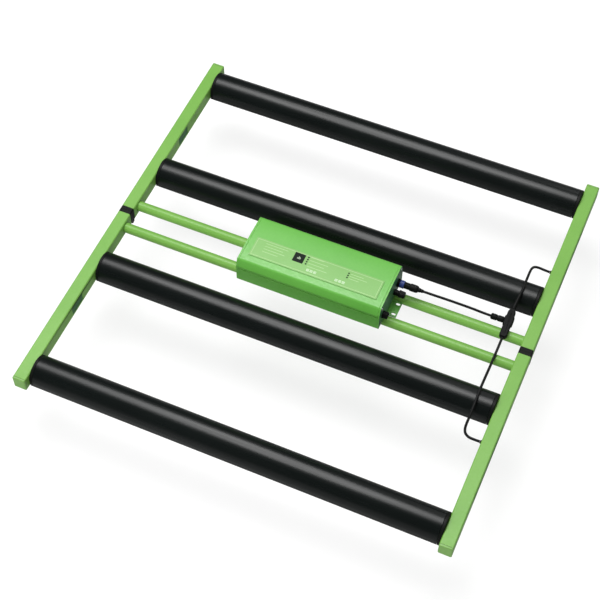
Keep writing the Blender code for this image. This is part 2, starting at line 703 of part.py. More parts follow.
# Leads: the output lead to the splitter, and one lead from there into each half of the right rail.
MAIN_ROUTE = [
    (0.1319, 0.0245, 0.0410), (0.1400, 0.0250, 0.0404), (0.1520, 0.0261, 0.0389), (0.1690, 0.0281, 0.0364),
    (0.1880, 0.0303, 0.0332), (0.2060, 0.0323, 0.0299), (0.2195, 0.0337, 0.0270), (0.2307, 0.0346, 0.0254),
]
FAR_ROUTE = [
    (0.2548, 0.0559, 0.0254), (0.2551, 0.0620, 0.0264), (0.2561, 0.0720, 0.0312), (0.2570, 0.0810, 0.0340),
    (0.2573, 0.0900, 0.0350), (0.2568, 0.1010, 0.0326), (0.2562, 0.1130, 0.0280), (0.2558, 0.1240, 0.0235),
    (0.2561, 0.1325, 0.0199), (0.2583, 0.1382, 0.0175), (0.2640, 0.1406, 0.0160), (0.2720, 0.1407, 0.0150),
    (0.2794, 0.1405, 0.0148),
]
NEAR_ROUTE = [
    (0.2560, 0.0079, 0.0254), (0.2560, 0.0000, 0.0251), (0.2560, -0.0100, 0.0243), (0.2559, -0.0206, 0.0238),
    (0.2559, -0.0330, 0.0245), (0.2560, -0.0460, 0.0265), (0.2561, -0.0580, 0.0292), (0.2563, -0.0700, 0.0325),
    (0.2565, -0.0800, 0.0344), (0.2567, -0.0900, 0.0351), (0.2569, -0.1010, 0.0339), (0.2570, -0.1120, 0.0308),
    (0.2568, -0.1225, 0.0269), (0.2565, -0.1300, 0.0235), (0.2569, -0.1360, 0.0203), (0.2594, -0.1407, 0.0178),
    (0.2650, -0.1432, 0.0160), (0.2725, -0.1432, 0.0150), (0.2794, -0.1430, 0.0148),
]


def smooth_route(route, spacing):
    """Points at even spacing on the Catmull-Rom curve through the route's points."""
    points = [Vector(p) for p in route]
    padded = [2 * points[0] - points[1], *points, 2 * points[-1] - points[-2]]
    fine = []
    for a, b, c, d in zip(padded, padded[1:], padded[2:], padded[3:]):
        for i in range(16):
            t = i / 16
            fine.append(
                0.5 * ((2 * b) + (c - a) * t + (2 * a - 5 * b + 4 * c - d) * t**2 + (3 * b - a - 3 * c + d) * t**3)
            )
    fine.append(points[-1])
    lengths = [0.0]
    for a, b in zip(fine, fine[1:]):
        lengths.append(lengths[-1] + (b - a).length)
    count = round(lengths[-1] / spacing)
    picked = []
    for k in range(count + 1):
        target = lengths[-1] * k / count
        i = min(range(len(lengths)), key=lambda n: abs(lengths[n] - target))
        picked.append(fine[i])
    return picked


def add_lead(name, route):
    curve = bpy.data.curves.new(name, "CURVE")
    curve.dimensions = "3D"
    curve.bevel_depth = LEAD_DIAMETER / 2
    curve.bevel_resolution = 2
    curve.use_fill_caps = True
    points = smooth_route(route, 2 * LEAD_DIAMETER)
    spline = curve.splines.new("POLY")
    spline.points.add(len(points) - 1)
    for point, place in zip(spline.points, points):
        point.co = (*place, 1.0)
    curve.materials.append(MATERIALS["black_rubber"])
    bpy.context.scene.collection.objects.link(bpy.data.objects.new(name, curve))


def splitter_outline():
    """A flat strip with a hump on both sides, blunt at its near end and slimmer at its far end."""
    half = SPLITTER_LENGTH / 2
    wide = SPLITTER_WIDTH / 2
    crest = SPLITTER_HUMP_LENGTH / 2
    foot = crest + SPLITTER_HUMP
    middle = SPLITTER_PLUG_OFFSET
    side = [
        (LEAD_DIAMETER * 0.9, half),
        (wide, half * 0.75),
        (wide, middle + foot),
        (wide + SPLITTER_HUMP, middle + crest),
        (wide + SPLITTER_HUMP, middle - crest),
        (wide, middle - foot),
        (wide, -half * 0.88),
        (wide * 0.72, -half),
    ]
    return side + [(-x, y) for x, y in reversed(side)]


def add_splitter():
    """The splitter's body on the rod, and the plug that enters its left side."""
    turn = Matrix.Rotation(SPLITTER_TURN, 4, "Z")
    place = Matrix.Translation((*SPLITTER_CENTRE, 0)) @ turn
    outline = splitter_outline()
    inset = [(x * 0.86, y * 0.98) for x, y in outline]
    edge = SPLITTER_THICKNESS * 0.2
    top = SPLITTER_BOTTOM + SPLITTER_THICKNESS
    sections = [(SPLITTER_BOTTOM, inset), (SPLITTER_BOTTOM + edge, outline), (top - edge, outline), (top, inset)]
    body = loft(sections, "Z")
    bmesh.ops.transform(body, matrix=place, verts=body.verts)
    add_object("splitter", body, "black_plastic", True)
    r = SPLITTER_PLUG_RADIUS
    length = SPLITTER_PLUG_LENGTH
    plug = [
        (0, 0), (0, r * 0.75), (length * 0.08, r), (length * 0.48, r), (length * 0.52, r * 0.82),
        (length * 0.56, r * 0.94), (length, r * 0.94), (length, 0),
    ]
    start = -SPLITTER_WIDTH / 2 - SPLITTER_HUMP - TOUCH - length
    plug_bm = turned(plug, (start, SPLITTER_PLUG_OFFSET, SPLITTER_MIDDLE))
    bmesh.ops.transform(plug_bm, matrix=place, verts=plug_bm.verts)
    add_object("splitter_plug", plug_bm, "black_plastic", True)


def add_grommets():
    head_start = -GROMMET_HEAD - TOUCH
    inside = RAIL_WALL + TOUCH
    lock = GROMMET_RADIUS - GROMMET_NECK
    profile = [
        (head_start, 0), (head_start, GROMMET_RADIUS * 0.7), (-TOUCH, GROMMET_RADIUS), (-TOUCH, GROMMET_NECK),
        (inside, GROMMET_NECK), (inside, GROMMET_RADIUS), (inside + lock, GROMMET_RADIUS), (inside + lock, 0),
    ]
    for half_name, y in GROMMET_PLACES.items():
        made = turned(profile, (RAIL_INSIDE, y, GROMMET_HEIGHT), 16)
        add_object(f"grommet_{half_name}", made, "black_rubber", True)


add_rails()
add_end_caps()
add_cross_rods()
add_hinges()
add_bars()
add_driver()
add_driver_panel()
add_mounting_strap()
add_rod_clamps()
add_output_fittings()
add_dimmer()
add_mains_inlet()
add_lead("main_lead", MAIN_ROUTE)
add_lead("lead_far", FAR_ROUTE)
add_lead("lead_near", NEAR_ROUTE)
add_splitter()
add_grommets()
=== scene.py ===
import json
import math

import bmesh
import bpy
from mathutils import Matrix, Vector

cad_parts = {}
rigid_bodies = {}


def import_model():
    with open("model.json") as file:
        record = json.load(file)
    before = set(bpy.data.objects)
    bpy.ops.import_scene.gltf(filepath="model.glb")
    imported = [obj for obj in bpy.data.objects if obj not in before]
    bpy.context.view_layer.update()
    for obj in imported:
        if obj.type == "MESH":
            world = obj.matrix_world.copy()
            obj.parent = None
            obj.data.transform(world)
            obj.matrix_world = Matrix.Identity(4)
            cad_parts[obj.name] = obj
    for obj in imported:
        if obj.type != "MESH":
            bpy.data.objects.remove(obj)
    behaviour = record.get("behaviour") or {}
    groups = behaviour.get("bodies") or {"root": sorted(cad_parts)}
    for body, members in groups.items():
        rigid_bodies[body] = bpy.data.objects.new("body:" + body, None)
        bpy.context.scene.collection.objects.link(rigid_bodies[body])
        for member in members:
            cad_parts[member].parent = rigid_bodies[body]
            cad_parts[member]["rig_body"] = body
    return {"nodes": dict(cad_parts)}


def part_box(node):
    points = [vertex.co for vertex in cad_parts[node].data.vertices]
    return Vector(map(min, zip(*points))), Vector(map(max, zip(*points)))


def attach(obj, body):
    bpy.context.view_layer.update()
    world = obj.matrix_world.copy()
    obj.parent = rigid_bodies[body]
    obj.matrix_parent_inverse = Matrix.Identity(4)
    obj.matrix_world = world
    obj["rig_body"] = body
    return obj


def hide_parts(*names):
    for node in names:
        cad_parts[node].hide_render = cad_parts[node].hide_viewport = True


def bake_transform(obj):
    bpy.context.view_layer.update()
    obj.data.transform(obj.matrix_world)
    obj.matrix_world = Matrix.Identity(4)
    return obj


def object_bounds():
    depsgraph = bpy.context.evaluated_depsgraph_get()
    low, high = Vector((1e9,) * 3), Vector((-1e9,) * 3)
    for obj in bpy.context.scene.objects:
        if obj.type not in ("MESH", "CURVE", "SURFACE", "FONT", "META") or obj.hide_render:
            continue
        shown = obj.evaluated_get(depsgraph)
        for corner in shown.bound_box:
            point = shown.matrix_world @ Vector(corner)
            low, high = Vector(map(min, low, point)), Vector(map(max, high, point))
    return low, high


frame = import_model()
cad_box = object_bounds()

# The view: a long lens, from the right of the light's near side and well above it.
VIEW_AZIMUTH = math.radians(23.51)
VIEW_ELEVATION = math.radians(55.80)
VIEW_DISTANCE = 1.886
VIEW_TARGET = Vector((-0.00942, -0.04296, 0.0255))

view_back = Vector((
    math.sin(VIEW_AZIMUTH) * math.cos(VIEW_ELEVATION),
    -math.cos(VIEW_AZIMUTH) * math.cos(VIEW_ELEVATION),
    math.sin(VIEW_ELEVATION),
))
lens = bpy.data.cameras.new("studio camera")
lens.sensor_width = 36.0
lens.lens = 85.256
camera = bpy.data.objects.new("studio camera", lens)
bpy.context.scene.collection.objects.link(camera)
camera.location = VIEW_TARGET + view_back * VIEW_DISTANCE
camera.rotation_euler = view_back.to_track_quat("Z", "Y").to_euler()
bpy.context.scene.camera = camera

# The studio: the light hangs above a plain pale floor, with room for its near half to fold under
# it. The floor is a white light table that is clear from below, in a white room with softboxes.
FLOOR_DROP = 0.085
FLOOR_SIZE = 6.0
FLOOR_COLOUR = (0.26, 0.26, 0.26, 1.0)
FLOOR_GLOW = 0.72
MIRRORED_FLOOR = (0.10, 0.10, 0.10, 1.0)  # how the floor shows in glossy pieces
ROOM_STRENGTH = 0.28
ROOM_SEEN = 1.0
MIRRORED_ROOM = 0.07  # how strongly the room shows in glossy pieces
WHITE = (1.0, 1.0, 1.0, 1.0)

bpy.context.scene.view_settings.view_transform = "Standard"
bm = bmesh.new()
bmesh.ops.create_grid(bm, x_segments=8, y_segments=8, size=FLOOR_SIZE / 2)
bmesh.ops.translate(bm, verts=bm.verts, vec=(0, 0, cad_box[0][2] - FLOOR_DROP))
floor_mesh = bpy.data.meshes.new("floor")
bm.to_mesh(floor_mesh)
bm.free()
floor = bpy.data.objects.new("floor", floor_mesh)
bpy.context.scene.collection.objects.link(floor)
paper = bpy.data.materials.new("floor paper")
paper.use_nodes = True
paper_tree = paper.node_tree
paper_shader = paper_tree.nodes["Principled BSDF"]
paper_shader.inputs["Roughness"].default_value = 0.9
paper_shader.inputs["Specular IOR Level"].default_value = 0.1
paper_shader.inputs["Base Color"].default_value = FLOOR_COLOUR
paper_shader.inputs["Emission Strength"].default_value = FLOOR_GLOW
mirrored_floor = paper_tree.nodes.new("ShaderNodeLightPath").outputs["Is Glossy Ray"]
paper_glow = paper_tree.nodes.new("ShaderNodeMix")
paper_glow.data_type = "RGBA"
paper_glow.inputs[6].default_value = WHITE
paper_glow.inputs[7].default_value = MIRRORED_FLOOR
paper_tree.links.new(mirrored_floor, paper_glow.inputs["Factor"])
paper_tree.links.new(paper_glow.outputs[2], paper_shader.inputs["Emission Color"])
from_below = paper_tree.nodes.new("ShaderNodeNewGeometry").outputs["Backfacing"]
clear = paper_tree.nodes.new("ShaderNodeBsdfTransparent").outputs["BSDF"]
one_sided = paper_tree.nodes.new("ShaderNodeMixShader")
paper_tree.links.new(from_below, one_sided.inputs["Fac"])
paper_tree.links.new(paper_shader.outputs["BSDF"], one_sided.inputs[1])
paper_tree.links.new(clear, one_sided.inputs[2])
paper_tree.links.new(one_sided.outputs["Shader"], paper_tree.nodes["Material Output"].inputs["Surface"])
floor_mesh.materials.append(paper)

world = bpy.data.worlds.new("white room")
world.use_nodes = True
room = world.node_tree.nodes["Background"]
room.inputs["Color"].default_value = WHITE
room.inputs["Strength"].default_value = ROOM_STRENGTH
room_rays = world.node_tree.nodes.new("ShaderNodeLightPath")
glow = room.inputs["Strength"]
# Rays that come from the camera or a glossy piece find the room at a strength of their own.
for ray, strength in (("Is Camera Ray", ROOM_SEEN), ("Is Glossy Ray", MIRRORED_ROOM)):
    step = world.node_tree.nodes.new("ShaderNodeMath")
    step.operation = "MULTIPLY_ADD"
    world.node_tree.links.new(room_rays.outputs[ray], step.inputs[0])
    step.inputs[1].default_value = strength - ROOM_STRENGTH
    step.inputs[2].default_value = ROOM_STRENGTH
    world.node_tree.links.new(step.outputs["Value"], glow)
    glow = step.inputs[2]
bpy.context.scene.world = world


def hang_softbox(name, place, size, power, mirrored=True):
    """A square area lamp that faces the middle of the light, and shows in gloss if mirrored."""
    lamp = bpy.data.lights.new(name, "AREA")
    lamp.size = size
    lamp.energy = power
    hung = bpy.data.objects.new(name, lamp)
    bpy.context.scene.collection.objects.link(hung)
    hung.location = place
    hung.visible_glossy = mirrored
    hung.rotation_euler = Vector(place).to_track_quat("Z", "Y").to_euler()


hang_softbox("overhead softbox", (-0.42, 0.35, 2.1), 1.5, 58.0)
hang_softbox("back softbox", (0.7, 2.0, 1.2), 1.2, 8.0)
hang_softbox("front softbox", (-0.5, -2.0, 1.1), 1.6, 34.0, mirrored=False)


# Side rails: four square aluminium tubes under a grass-green powder coat, two to a side. The
# floors of the shallow sunk strips in their outer faces, and of the two short ones inside, carry a
# darker green as painted shade. As on every piece, the finish has a fine grain, drifts a little in
# tone, and is worn at the corners.
def new_group(name, inputs, outputs):
    """A shader node group with numbers in and numbers out, and its two end nodes."""
    tree = bpy.data.node_groups.new(name, "ShaderNodeTree")
    for socket, kind, value in inputs:
        made = tree.interface.new_socket(socket, in_out="INPUT", socket_type=kind)
        made.default_value = value
    for socket in outputs:
        tree.interface.new_socket(socket, in_out="OUTPUT", socket_type="NodeSocketFloat")
    return tree, tree.nodes.new("NodeGroupInput"), tree.nodes.new("NodeGroupOutput")


def put(tree, kind, **links):
    """A node with its inputs linked or set. i0 is its first input, From_Min the one named so."""
    made = tree.nodes.new(kind)
    for name, value in links.items():
        numbered = name[0] == "i" and name[1:].isdigit()
        socket = made.inputs[int(name[1:]) if numbered else name.replace("_", " ")]
        if isinstance(value, bpy.types.NodeSocket):
            tree.links.new(value, socket)
        else:
            socket.default_value = value
    return made


def ramp(tree, value, low, high, start=0.0, end=1.0):
    """The value stretched so that low gives start and high gives end."""
    return put(
        tree, "ShaderNodeMapRange", Value=value, From_Min=low, From_Max=high, To_Min=start, To_Max=end
    ).outputs["Result"]


def times(tree, one, other):
    """The product of two values."""
    made = put(tree, "ShaderNodeMath", i0=one, i1=other)
    made.operation = "MULTIPLY"
    return made.outputs["Value"]


# The small relief of a coat or moulding, its flecks, and a slow change of tone over it.
fine_grain, grain_in, grain_out = new_group(
    "Fine Grain",
    [
        ("Grains Per Metre", "NodeSocketFloat", 1500.0),
        ("Patches Per Metre", "NodeSocketFloat", 14.0),
        ("Stretch", "NodeSocketVector", (1.0, 1.0, 1.0)),
    ],
    ["Height", "Fleck", "Tone"],
)
own_place = fine_grain.nodes.new("ShaderNodeTexCoord").outputs["Object"]
drawn = put(fine_grain, "ShaderNodeVectorMath", i0=own_place, i1=grain_in.outputs["Stretch"])
drawn.operation = "MULTIPLY"
small = put(
    fine_grain, "ShaderNodeTexNoise", Vector=drawn.outputs["Vector"],
    Scale=grain_in.outputs["Grains Per Metre"], Detail=3.0, Roughness=0.55,
)
fleck = put(
    fine_grain, "ShaderNodeTexNoise", Vector=drawn.outputs["Vector"],
    Scale=times(fine_grain, grain_in.outputs["Grains Per Metre"], 0.23), Detail=2.0, Roughness=0.6,
)
tone = put(
    fine_grain, "ShaderNodeTexNoise", Vector=own_place,
    Scale=grain_in.outputs["Patches Per Metre"], Detail=4.0, Roughness=0.5,
)
fine_grain.links.new(small.outputs["Fac"], grain_out.inputs["Height"])
fine_grain.links.new(ramp(fine_grain, fleck.outputs["Fac"], 0.35, 0.65), grain_out.inputs["Fleck"])
fine_grain.links.new(ramp(fine_grain, tone.outputs["Fac"], 0.35, 0.65), grain_out.inputs["Tone"])

# Where hands and fittings have polished the corners, in broken stretches. On the driver coat, the same
# mask also paints a highlight along the rims.
worn_edges, worn_in, worn_out = new_group(
    "Worn Edges",
    [("Reach", "NodeSocketFloat", 0.0006), ("Breaks Per Metre", "NodeSocketFloat", 160.0)],
    ["Mask"],
)
rounded = worn_edges.nodes.new("ShaderNodeBevel")
rounded.samples = 4
worn_edges.links.new(worn_in.outputs["Reach"], rounded.inputs["Radius"])
true_face = worn_edges.nodes.new("ShaderNodeNewGeometry")
facing = put(
    worn_edges, "ShaderNodeVectorMath", i0=rounded.outputs["Normal"], i1=true_face.outputs["Normal"]
)
facing.operation = "DOT_PRODUCT"
worn_place = worn_edges.nodes.new("ShaderNodeTexCoord").outputs["Object"]
breaks = put(
    worn_edges, "ShaderNodeTexNoise", Vector=worn_place,
    Scale=worn_in.outputs["Breaks Per Metre"], Detail=3.0, Roughness=0.6,
)
turned_away = ramp(worn_edges, facing.outputs["Value"], 0.985, 0.86)
stretches = ramp(worn_edges, breaks.outputs["Fac"], 0.42, 0.60)
worn_edges.links.new(times(worn_edges, turned_away, stretches), worn_out.inputs["Mask"])


def blend_colours(tree, share, one, other):
    """One colour, with a share of the other mixed in."""
    made = tree.nodes.new("ShaderNodeMix")
    made.data_type = "RGBA"
    mixed = ((made.inputs["Factor"], share), (made.inputs[6], one), (made.inputs[7], other))
    for socket, value in mixed:
        if isinstance(value, bpy.types.NodeSocket):
            tree.links.new(value, socket)
        else:
            socket.default_value = (*value, 1.0) if isinstance(value, tuple) else value
    return made.outputs[2]


TONE_SHARE = 0.7  # how much of a finish's drift is slow tone, the rest being flecks


def make_finish(
    name, colour, deep, worn, grains, relief, rough, metallic=0.0, stretch=(1.0, 1.0, 1.0),
    patches=14.0, wear=0.5, reach=0.0006, specular=0.5, transmission=0.0,
):
    """A finish: colour drifts to deep in patches and flecks, and to worn along the edges."""
    made = bpy.data.materials.new(name)
    made.use_nodes = True
    tree = made.node_tree
    shader = tree.nodes["Principled BSDF"]
    grain = tree.nodes.new("ShaderNodeGroup")
    grain.node_tree = fine_grain
    grain.inputs["Grains Per Metre"].default_value = grains
    grain.inputs["Patches Per Metre"].default_value = patches
    grain.inputs["Stretch"].default_value = stretch
    edges = tree.nodes.new("ShaderNodeGroup")
    edges.node_tree = worn_edges
    edges.inputs["Reach"].default_value = reach
    slow = times(tree, grain.outputs["Tone"], TONE_SHARE)
    quick = times(tree, grain.outputs["Fleck"], 1.0 - TONE_SHARE)
    drift = put(tree, "ShaderNodeMath", i0=slow, i1=quick)
    base = blend_colours(tree, drift.outputs["Value"], colour, deep)
    edge_share = times(tree, edges.outputs["Mask"], wear)
    tree.links.new(blend_colours(tree, edge_share, base, worn), shader.inputs["Base Color"])
    dull = ramp(tree, grain.outputs["Fleck"], 0.0, 1.0, rough[0], rough[1])
    tree.links.new(dull, shader.inputs["Roughness"])
    bump = put(tree, "ShaderNodeBump", Height=grain.outputs["Height"], Strength=1.0, Distance=relief)
    tree.links.new(bump.outputs["Normal"], shader.inputs["Normal"])
    shader.inputs["Metallic"].default_value = metallic
    shader.inputs["Specular IOR Level"].default_value = specular
    shader.inputs["Transmission Weight"].default_value = transmission
    return made


WELD_DISTANCE = 1e-6
SHARP_ANGLE = math.radians(33)
ROUNDED_ANGLE = math.radians(35)
FLAT_ANGLE = math.radians(0.8)


def add_piece(name, bm, finish, body, replaced=(), rounding=0.0, outward=True, steps=2):
    """The bmesh as a piece on a body, with rounded edges, in place of the nodes it stands for."""
    bmesh.ops.remove_doubles(bm, verts=bm.verts, dist=WELD_DISTANCE)
    if outward:
        bmesh.ops.recalc_face_normals(bm, faces=bm.faces)
    mesh = bpy.data.meshes.new(name)
    bm.to_mesh(mesh)
    bm.free()
    for each in finish if isinstance(finish, list) else [finish]:
        mesh.materials.append(each)
    mesh.shade_smooth()
    mesh.set_sharp_from_angle(angle=SHARP_ANGLE)
    piece = bpy.data.objects.new(name, mesh)
    bpy.context.scene.collection.objects.link(piece)
    if rounding:
        soft = piece.modifiers.new("rounded edges", "BEVEL")
        soft.width = rounding
        soft.segments = steps
        soft.limit_method = "ANGLE"
        soft.angle_limit = ROUNDED_ANGLE
        soft.harden_normals = True
    if body:
        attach(piece, body)
    if replaced:
        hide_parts(*replaced)
    return piece


def shape_of(node):
    """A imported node's own shape, with its loose triangles merged into whole faces."""
    bm = bmesh.new()
    bm.from_mesh(frame["nodes"][node].data)
    bmesh.ops.remove_doubles(bm, verts=bm.verts, dist=WELD_DISTANCE)
    bmesh.ops.dissolve_limit(bm, angle_limit=FLAT_ANGLE, verts=bm.verts, edges=bm.edges)
    return bm


green_coat = make_finish(
    "green powder coat", (0.153, 0.338, 0.062), deep=(0.128, 0.305, 0.049), worn=(0.24, 0.42, 0.14),
    grains=1500.0, relief=0.00006, rough=(0.32, 0.44), wear=0.55, specular=0.35,
)
# Painted shade: a darker green for the floors of the sunk strips.
recess_shade_coat = make_finish(
    "painted recess shade", (0.022, 0.135, 0.030), deep=(0.018, 0.115, 0.024), worn=(0.045, 0.18, 0.05),
    grains=1700.0, relief=0.00005, rough=(0.42, 0.55), wear=0.3,
)
RECESS_FACE_DEPTH = 0.0006
FACE_TOLERANCE = 0.0001
SIDES = ("left", "right")
HALVES = ("far", "near")
BODY_OF_HALF = {"far": "far_half", "near": "near_half"}

for side in SIDES:
    for half in HALVES:
        node = f"rail_{side}_{half}"
        low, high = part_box(node)
        bm = shape_of(node)
        for face in bm.faces:
            x = face.calc_center_median().x
            depth = min(x - low.x, high.x - x)
            square_on = abs(face.normal.x) > 0.99
            # The recess floors take the painted shade coat.
            if square_on and abs(depth - RECESS_FACE_DEPTH) < FACE_TOLERANCE:
                face.material_index = 1
        add_piece(
            f"rail_tube_{side}_{half}", bm, [green_coat, recess_shade_coat], BODY_OF_HALF[half],
            [node], rounding=0.0003, outward=False,
        )

# End caps: moulded plugs pressed into the open ends of the rails, sprayed with the same green.
green_moulded = make_finish(
    "green moulded cap", (0.155, 0.320, 0.070), deep=(0.128, 0.285, 0.055), worn=(0.23, 0.40, 0.14),
    grains=900.0, relief=0.00004, rough=(0.36, 0.46), wear=0.4,
)
for side in SIDES:
    for half in HALVES:
        node = f"end_cap_{side}_{half}"
        add_piece(
            f"rail_plug_{side}_{half}", shape_of(node), green_moulded, BODY_OF_HALF[half],
            [node], rounding=0.0004, outward=False, steps=3,
        )


# Cross rods: two round aluminium tubes with the rails' coat, pressed into the rails' inner walls.
def lathe(profile, centre, turns=64, closed=False):
    """A profile of (distance along X, radius) spun round an axis through the centre."""
    bm = bmesh.new()
    ring = [bm.verts.new((along, 0, radius)) for along, radius in profile]
    pairs = list(zip(ring, ring[1:])) + ([(ring[-1], ring[0])] if closed else [])
    edges = [bm.edges.new(pair) for pair in pairs]
    bmesh.ops.spin(
        bm, geom=ring + edges, cent=(0, 0, 0), axis=(1, 0, 0), angle=2 * math.pi,
        steps=turns, use_merge=True,
    )
    bmesh.ops.remove_doubles(bm, verts=bm.verts, dist=WELD_DISTANCE)
    bmesh.ops.translate(bm, verts=bm.verts, vec=centre)
    return bm


ROD_WALL = 0.0015
ROD_EDGE = 0.0004
for half in HALVES:
    low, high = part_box(f"cross_rod_{half}")
    r = (high.z - low.z) / 2
    centre = (0, (low.y + high.y) / 2, (low.z + high.z) / 2)
    rod_profile = [
        (low.x, r - ROD_WALL), (low.x, r - ROD_EDGE), (low.x + ROD_EDGE, r),
        (high.x - ROD_EDGE, r), (high.x, r - ROD_EDGE), (high.x, r - ROD_WALL),
    ]
    add_piece(
        f"cross_tube_{half}", lathe(rod_profile, centre, closed=True), green_coat, BODY_OF_HALF[half],
        [f"cross_rod_{half}"],
    )

# Hinges: each rail folds on two glass-filled nylon leaves with a tongue in each rail half, and a
# steel pin through their knuckles on the underside.
black_moulded = make_finish(
    "black moulded nylon", (0.0060, 0.0066, 0.0062),
    deep=(0.0040, 0.0045, 0.0042), worn=(0.016, 0.018, 0.017),
    grains=2200.0, relief=0.00004, rough=(0.40, 0.54), wear=0.35, specular=0.12,
)
bright_steel = make_finish(
    "zinc plated steel", (0.56, 0.57, 0.58), deep=(0.44, 0.45, 0.47), worn=(0.75, 0.75, 0.75),
    grains=900.0, relief=0.00001, rough=(0.24, 0.38), metallic=1.0, stretch=(1.0, 5.0, 5.0),
    patches=60.0, wear=0.4,
)
for side in SIDES:
    for half in HALVES:
        node = f"hinge_leaf_{side}_{half}"
        add_piece(
            f"hinge_half_{side}_{half}", shape_of(node), black_moulded, BODY_OF_HALF[half],
            [node], rounding=0.0003, outward=False,
        )
    node = f"hinge_pin_{side}"
    low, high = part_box(node)
    r = (high.z - low.z) / 2
    chamfer = r * 0.3
    pin_profile = [
        (low.x, 0), (low.x, r - chamfer), (low.x + chamfer, r),
        (high.x - chamfer, r), (high.x, r - chamfer), (high.x, 0),
    ]
    add_piece(
        f"hinge_rod_{side}", lathe(pin_profile, (0, 0, (low.z + high.z) / 2), turns=32), bright_steel,
        frame["nodes"][node]["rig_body"], [node],
    )

# LED bars: half-round aluminium extrusions, anodised black, with drawing lines along them. They
# hold a channel for the board and its cover, and end in moulded caps against the rails.
bar_black = make_finish(
    "black anodised extrusion", (0.0030, 0.0046, 0.0043),
    deep=(0.0020, 0.0034, 0.0031), worn=(0.012, 0.015, 0.014),
    grains=1400.0, relief=0.000012, rough=(0.27, 0.35), stretch=(0.02, 1.0, 1.0),
    patches=9.0, wear=0.3, specular=0.30,
)
CHANNEL_LIP = 0.0030
WEB_ABOVE_SKIRT = 0.0045
DOME_STEPS = 48
BODY_OF_BAR = {1: "far_half", 2: "far_half", 3: "near_half", 4: "near_half"}


def half_round_section(bm, x, middle, radius, foot, spring, web):
    """The extrusion's face across X: dome, straight skirt and the channel open to below."""
    start = bm.verts.new((x, middle + radius, spring))
    dome = bmesh.ops.spin(
        bm, geom=[start], cent=(x, middle, spring), axis=(1, 0, 0), angle=math.pi,
        steps=DOME_STEPS, use_merge=False,
    )
    end = dome["geom_last"][0]
    inside = radius - CHANNEL_LIP
    corners = [
        (middle - radius, foot), (middle - inside, foot), (middle - inside, web),
        (middle + inside, web), (middle + inside, foot), (middle + radius, foot),
    ]
    around = [end, *(bm.verts.new((x, y, z)) for y, z in corners), start]
    for pair in zip(around, around[1:]):
        bm.edges.new(pair)
    return bmesh.ops.edgenet_fill(bm, edges=bm.edges)["faces"]


for number in range(1, 5):
    low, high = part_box(f"bar_{number}_housing")
    middle = (low.y + high.y) / 2
    radius = (high.y - low.y) / 2
    bm = bmesh.new()
    section = half_round_section(
        bm, low.x, middle, radius, foot=low.z, spring=high.z - radius, web=low.z + WEB_ABOVE_SKIRT
    )
    grown = bmesh.ops.extrude_face_region(bm, geom=section, use_keep_orig=True)["geom"]
    moved = [v for v in grown if isinstance(v, bmesh.types.BMVert)]
    bmesh.ops.translate(bm, verts=moved, vec=(high.x - low.x, 0, 0))
    add_piece(
        f"bar_{number}_extrusion", bm, bar_black, BODY_OF_BAR[number],
        [f"bar_{number}_housing"], rounding=0.0003,
    )
    for side in SIDES:
        node = f"bar_{number}_cap_{side}"
        add_piece(
            f"bar_{number}_end_{side}", shape_of(node), black_moulded, BODY_OF_BAR[number],
            [node], rounding=0.0005, outward=False, steps=3,
        )

# LED boards: white-coated aluminium strips in the bars' channels, with two rows of small white
# LEDs. Every eighth one is red. Each is a ceramic cup with a phosphor window that faces down.
board_white = make_finish(
    "white solder mask", (0.80, 0.81, 0.79), deep=(0.73, 0.75, 0.72), worn=(0.85, 0.85, 0.83),
    grains=1200.0, relief=0.00001, rough=(0.30, 0.42), patches=30.0, wear=0.1,
)
led_cup = make_finish(
    "LED ceramic", (0.74, 0.74, 0.72), deep=(0.66, 0.66, 0.64), worn=(0.80, 0.80, 0.80),
    grains=2500.0, relief=0.00001, rough=(0.35, 0.45), patches=200.0, wear=0.1,
)
led_white = make_finish(
    "LED phosphor", (0.80, 0.62, 0.16), deep=(0.74, 0.54, 0.11), worn=(0.85, 0.70, 0.25),
    grains=4000.0, relief=0.00002, rough=(0.35, 0.50), patches=300.0, wear=0.0,
)
led_red = make_finish(
    "LED red window", (0.52, 0.05, 0.04), deep=(0.42, 0.03, 0.03), worn=(0.60, 0.10, 0.08),
    grains=4000.0, relief=0.00001, rough=(0.15, 0.25), patches=300.0, wear=0.0,
)
LED_WIDTH = 0.0030
LED_HEIGHT = 0.0006
LED_PITCH = 0.0090
LED_ROW = 0.0062
LED_RIM = 0.14  # of its width
LED_WINDOW_SUNK = 0.3  # of its height
RED_EVERY = 8

for number in range(1, 5):
    node = f"bar_{number}_led_board"
    low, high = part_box(node)
    middle = (low.y + high.y) / 2
    add_piece(
        f"bar_{number}_board", shape_of(node), board_white, BODY_OF_BAR[number],
        [node], rounding=0.0001, outward=False,
    )
    count = int((high.x - low.x) / LED_PITCH) - 1
    bm = bmesh.new()
    for row in (-1, 1):
        for i in range(count):
            place = Matrix.Translation(
                ((i - (count - 1) / 2) * LED_PITCH, middle + row * LED_ROW, low.z - LED_HEIGHT / 2)
            )
            size = Matrix.Diagonal((LED_WIDTH, LED_WIDTH, LED_HEIGHT, 1.0))
            cup = bmesh.ops.create_cube(bm, size=1.0, matrix=place @ size)
            faces = {f for v in cup["verts"] for f in v.link_faces}
            window = [min(faces, key=lambda f: f.calc_center_median().z)]
            bmesh.ops.inset_individual(bm, faces=window, thickness=LED_WIDTH * LED_RIM, depth=0.0)
            bmesh.ops.translate(bm, verts=window[0].verts, vec=(0, 0, LED_HEIGHT * LED_WINDOW_SUNK))
            window[0].material_index = 2 if (i + 2 * row) % RED_EVERY == 0 else 1
    add_piece(
        f"bar_{number}_leds", bm, [led_cup, led_white, led_red], BODY_OF_BAR[number],
        outward=False,
    )

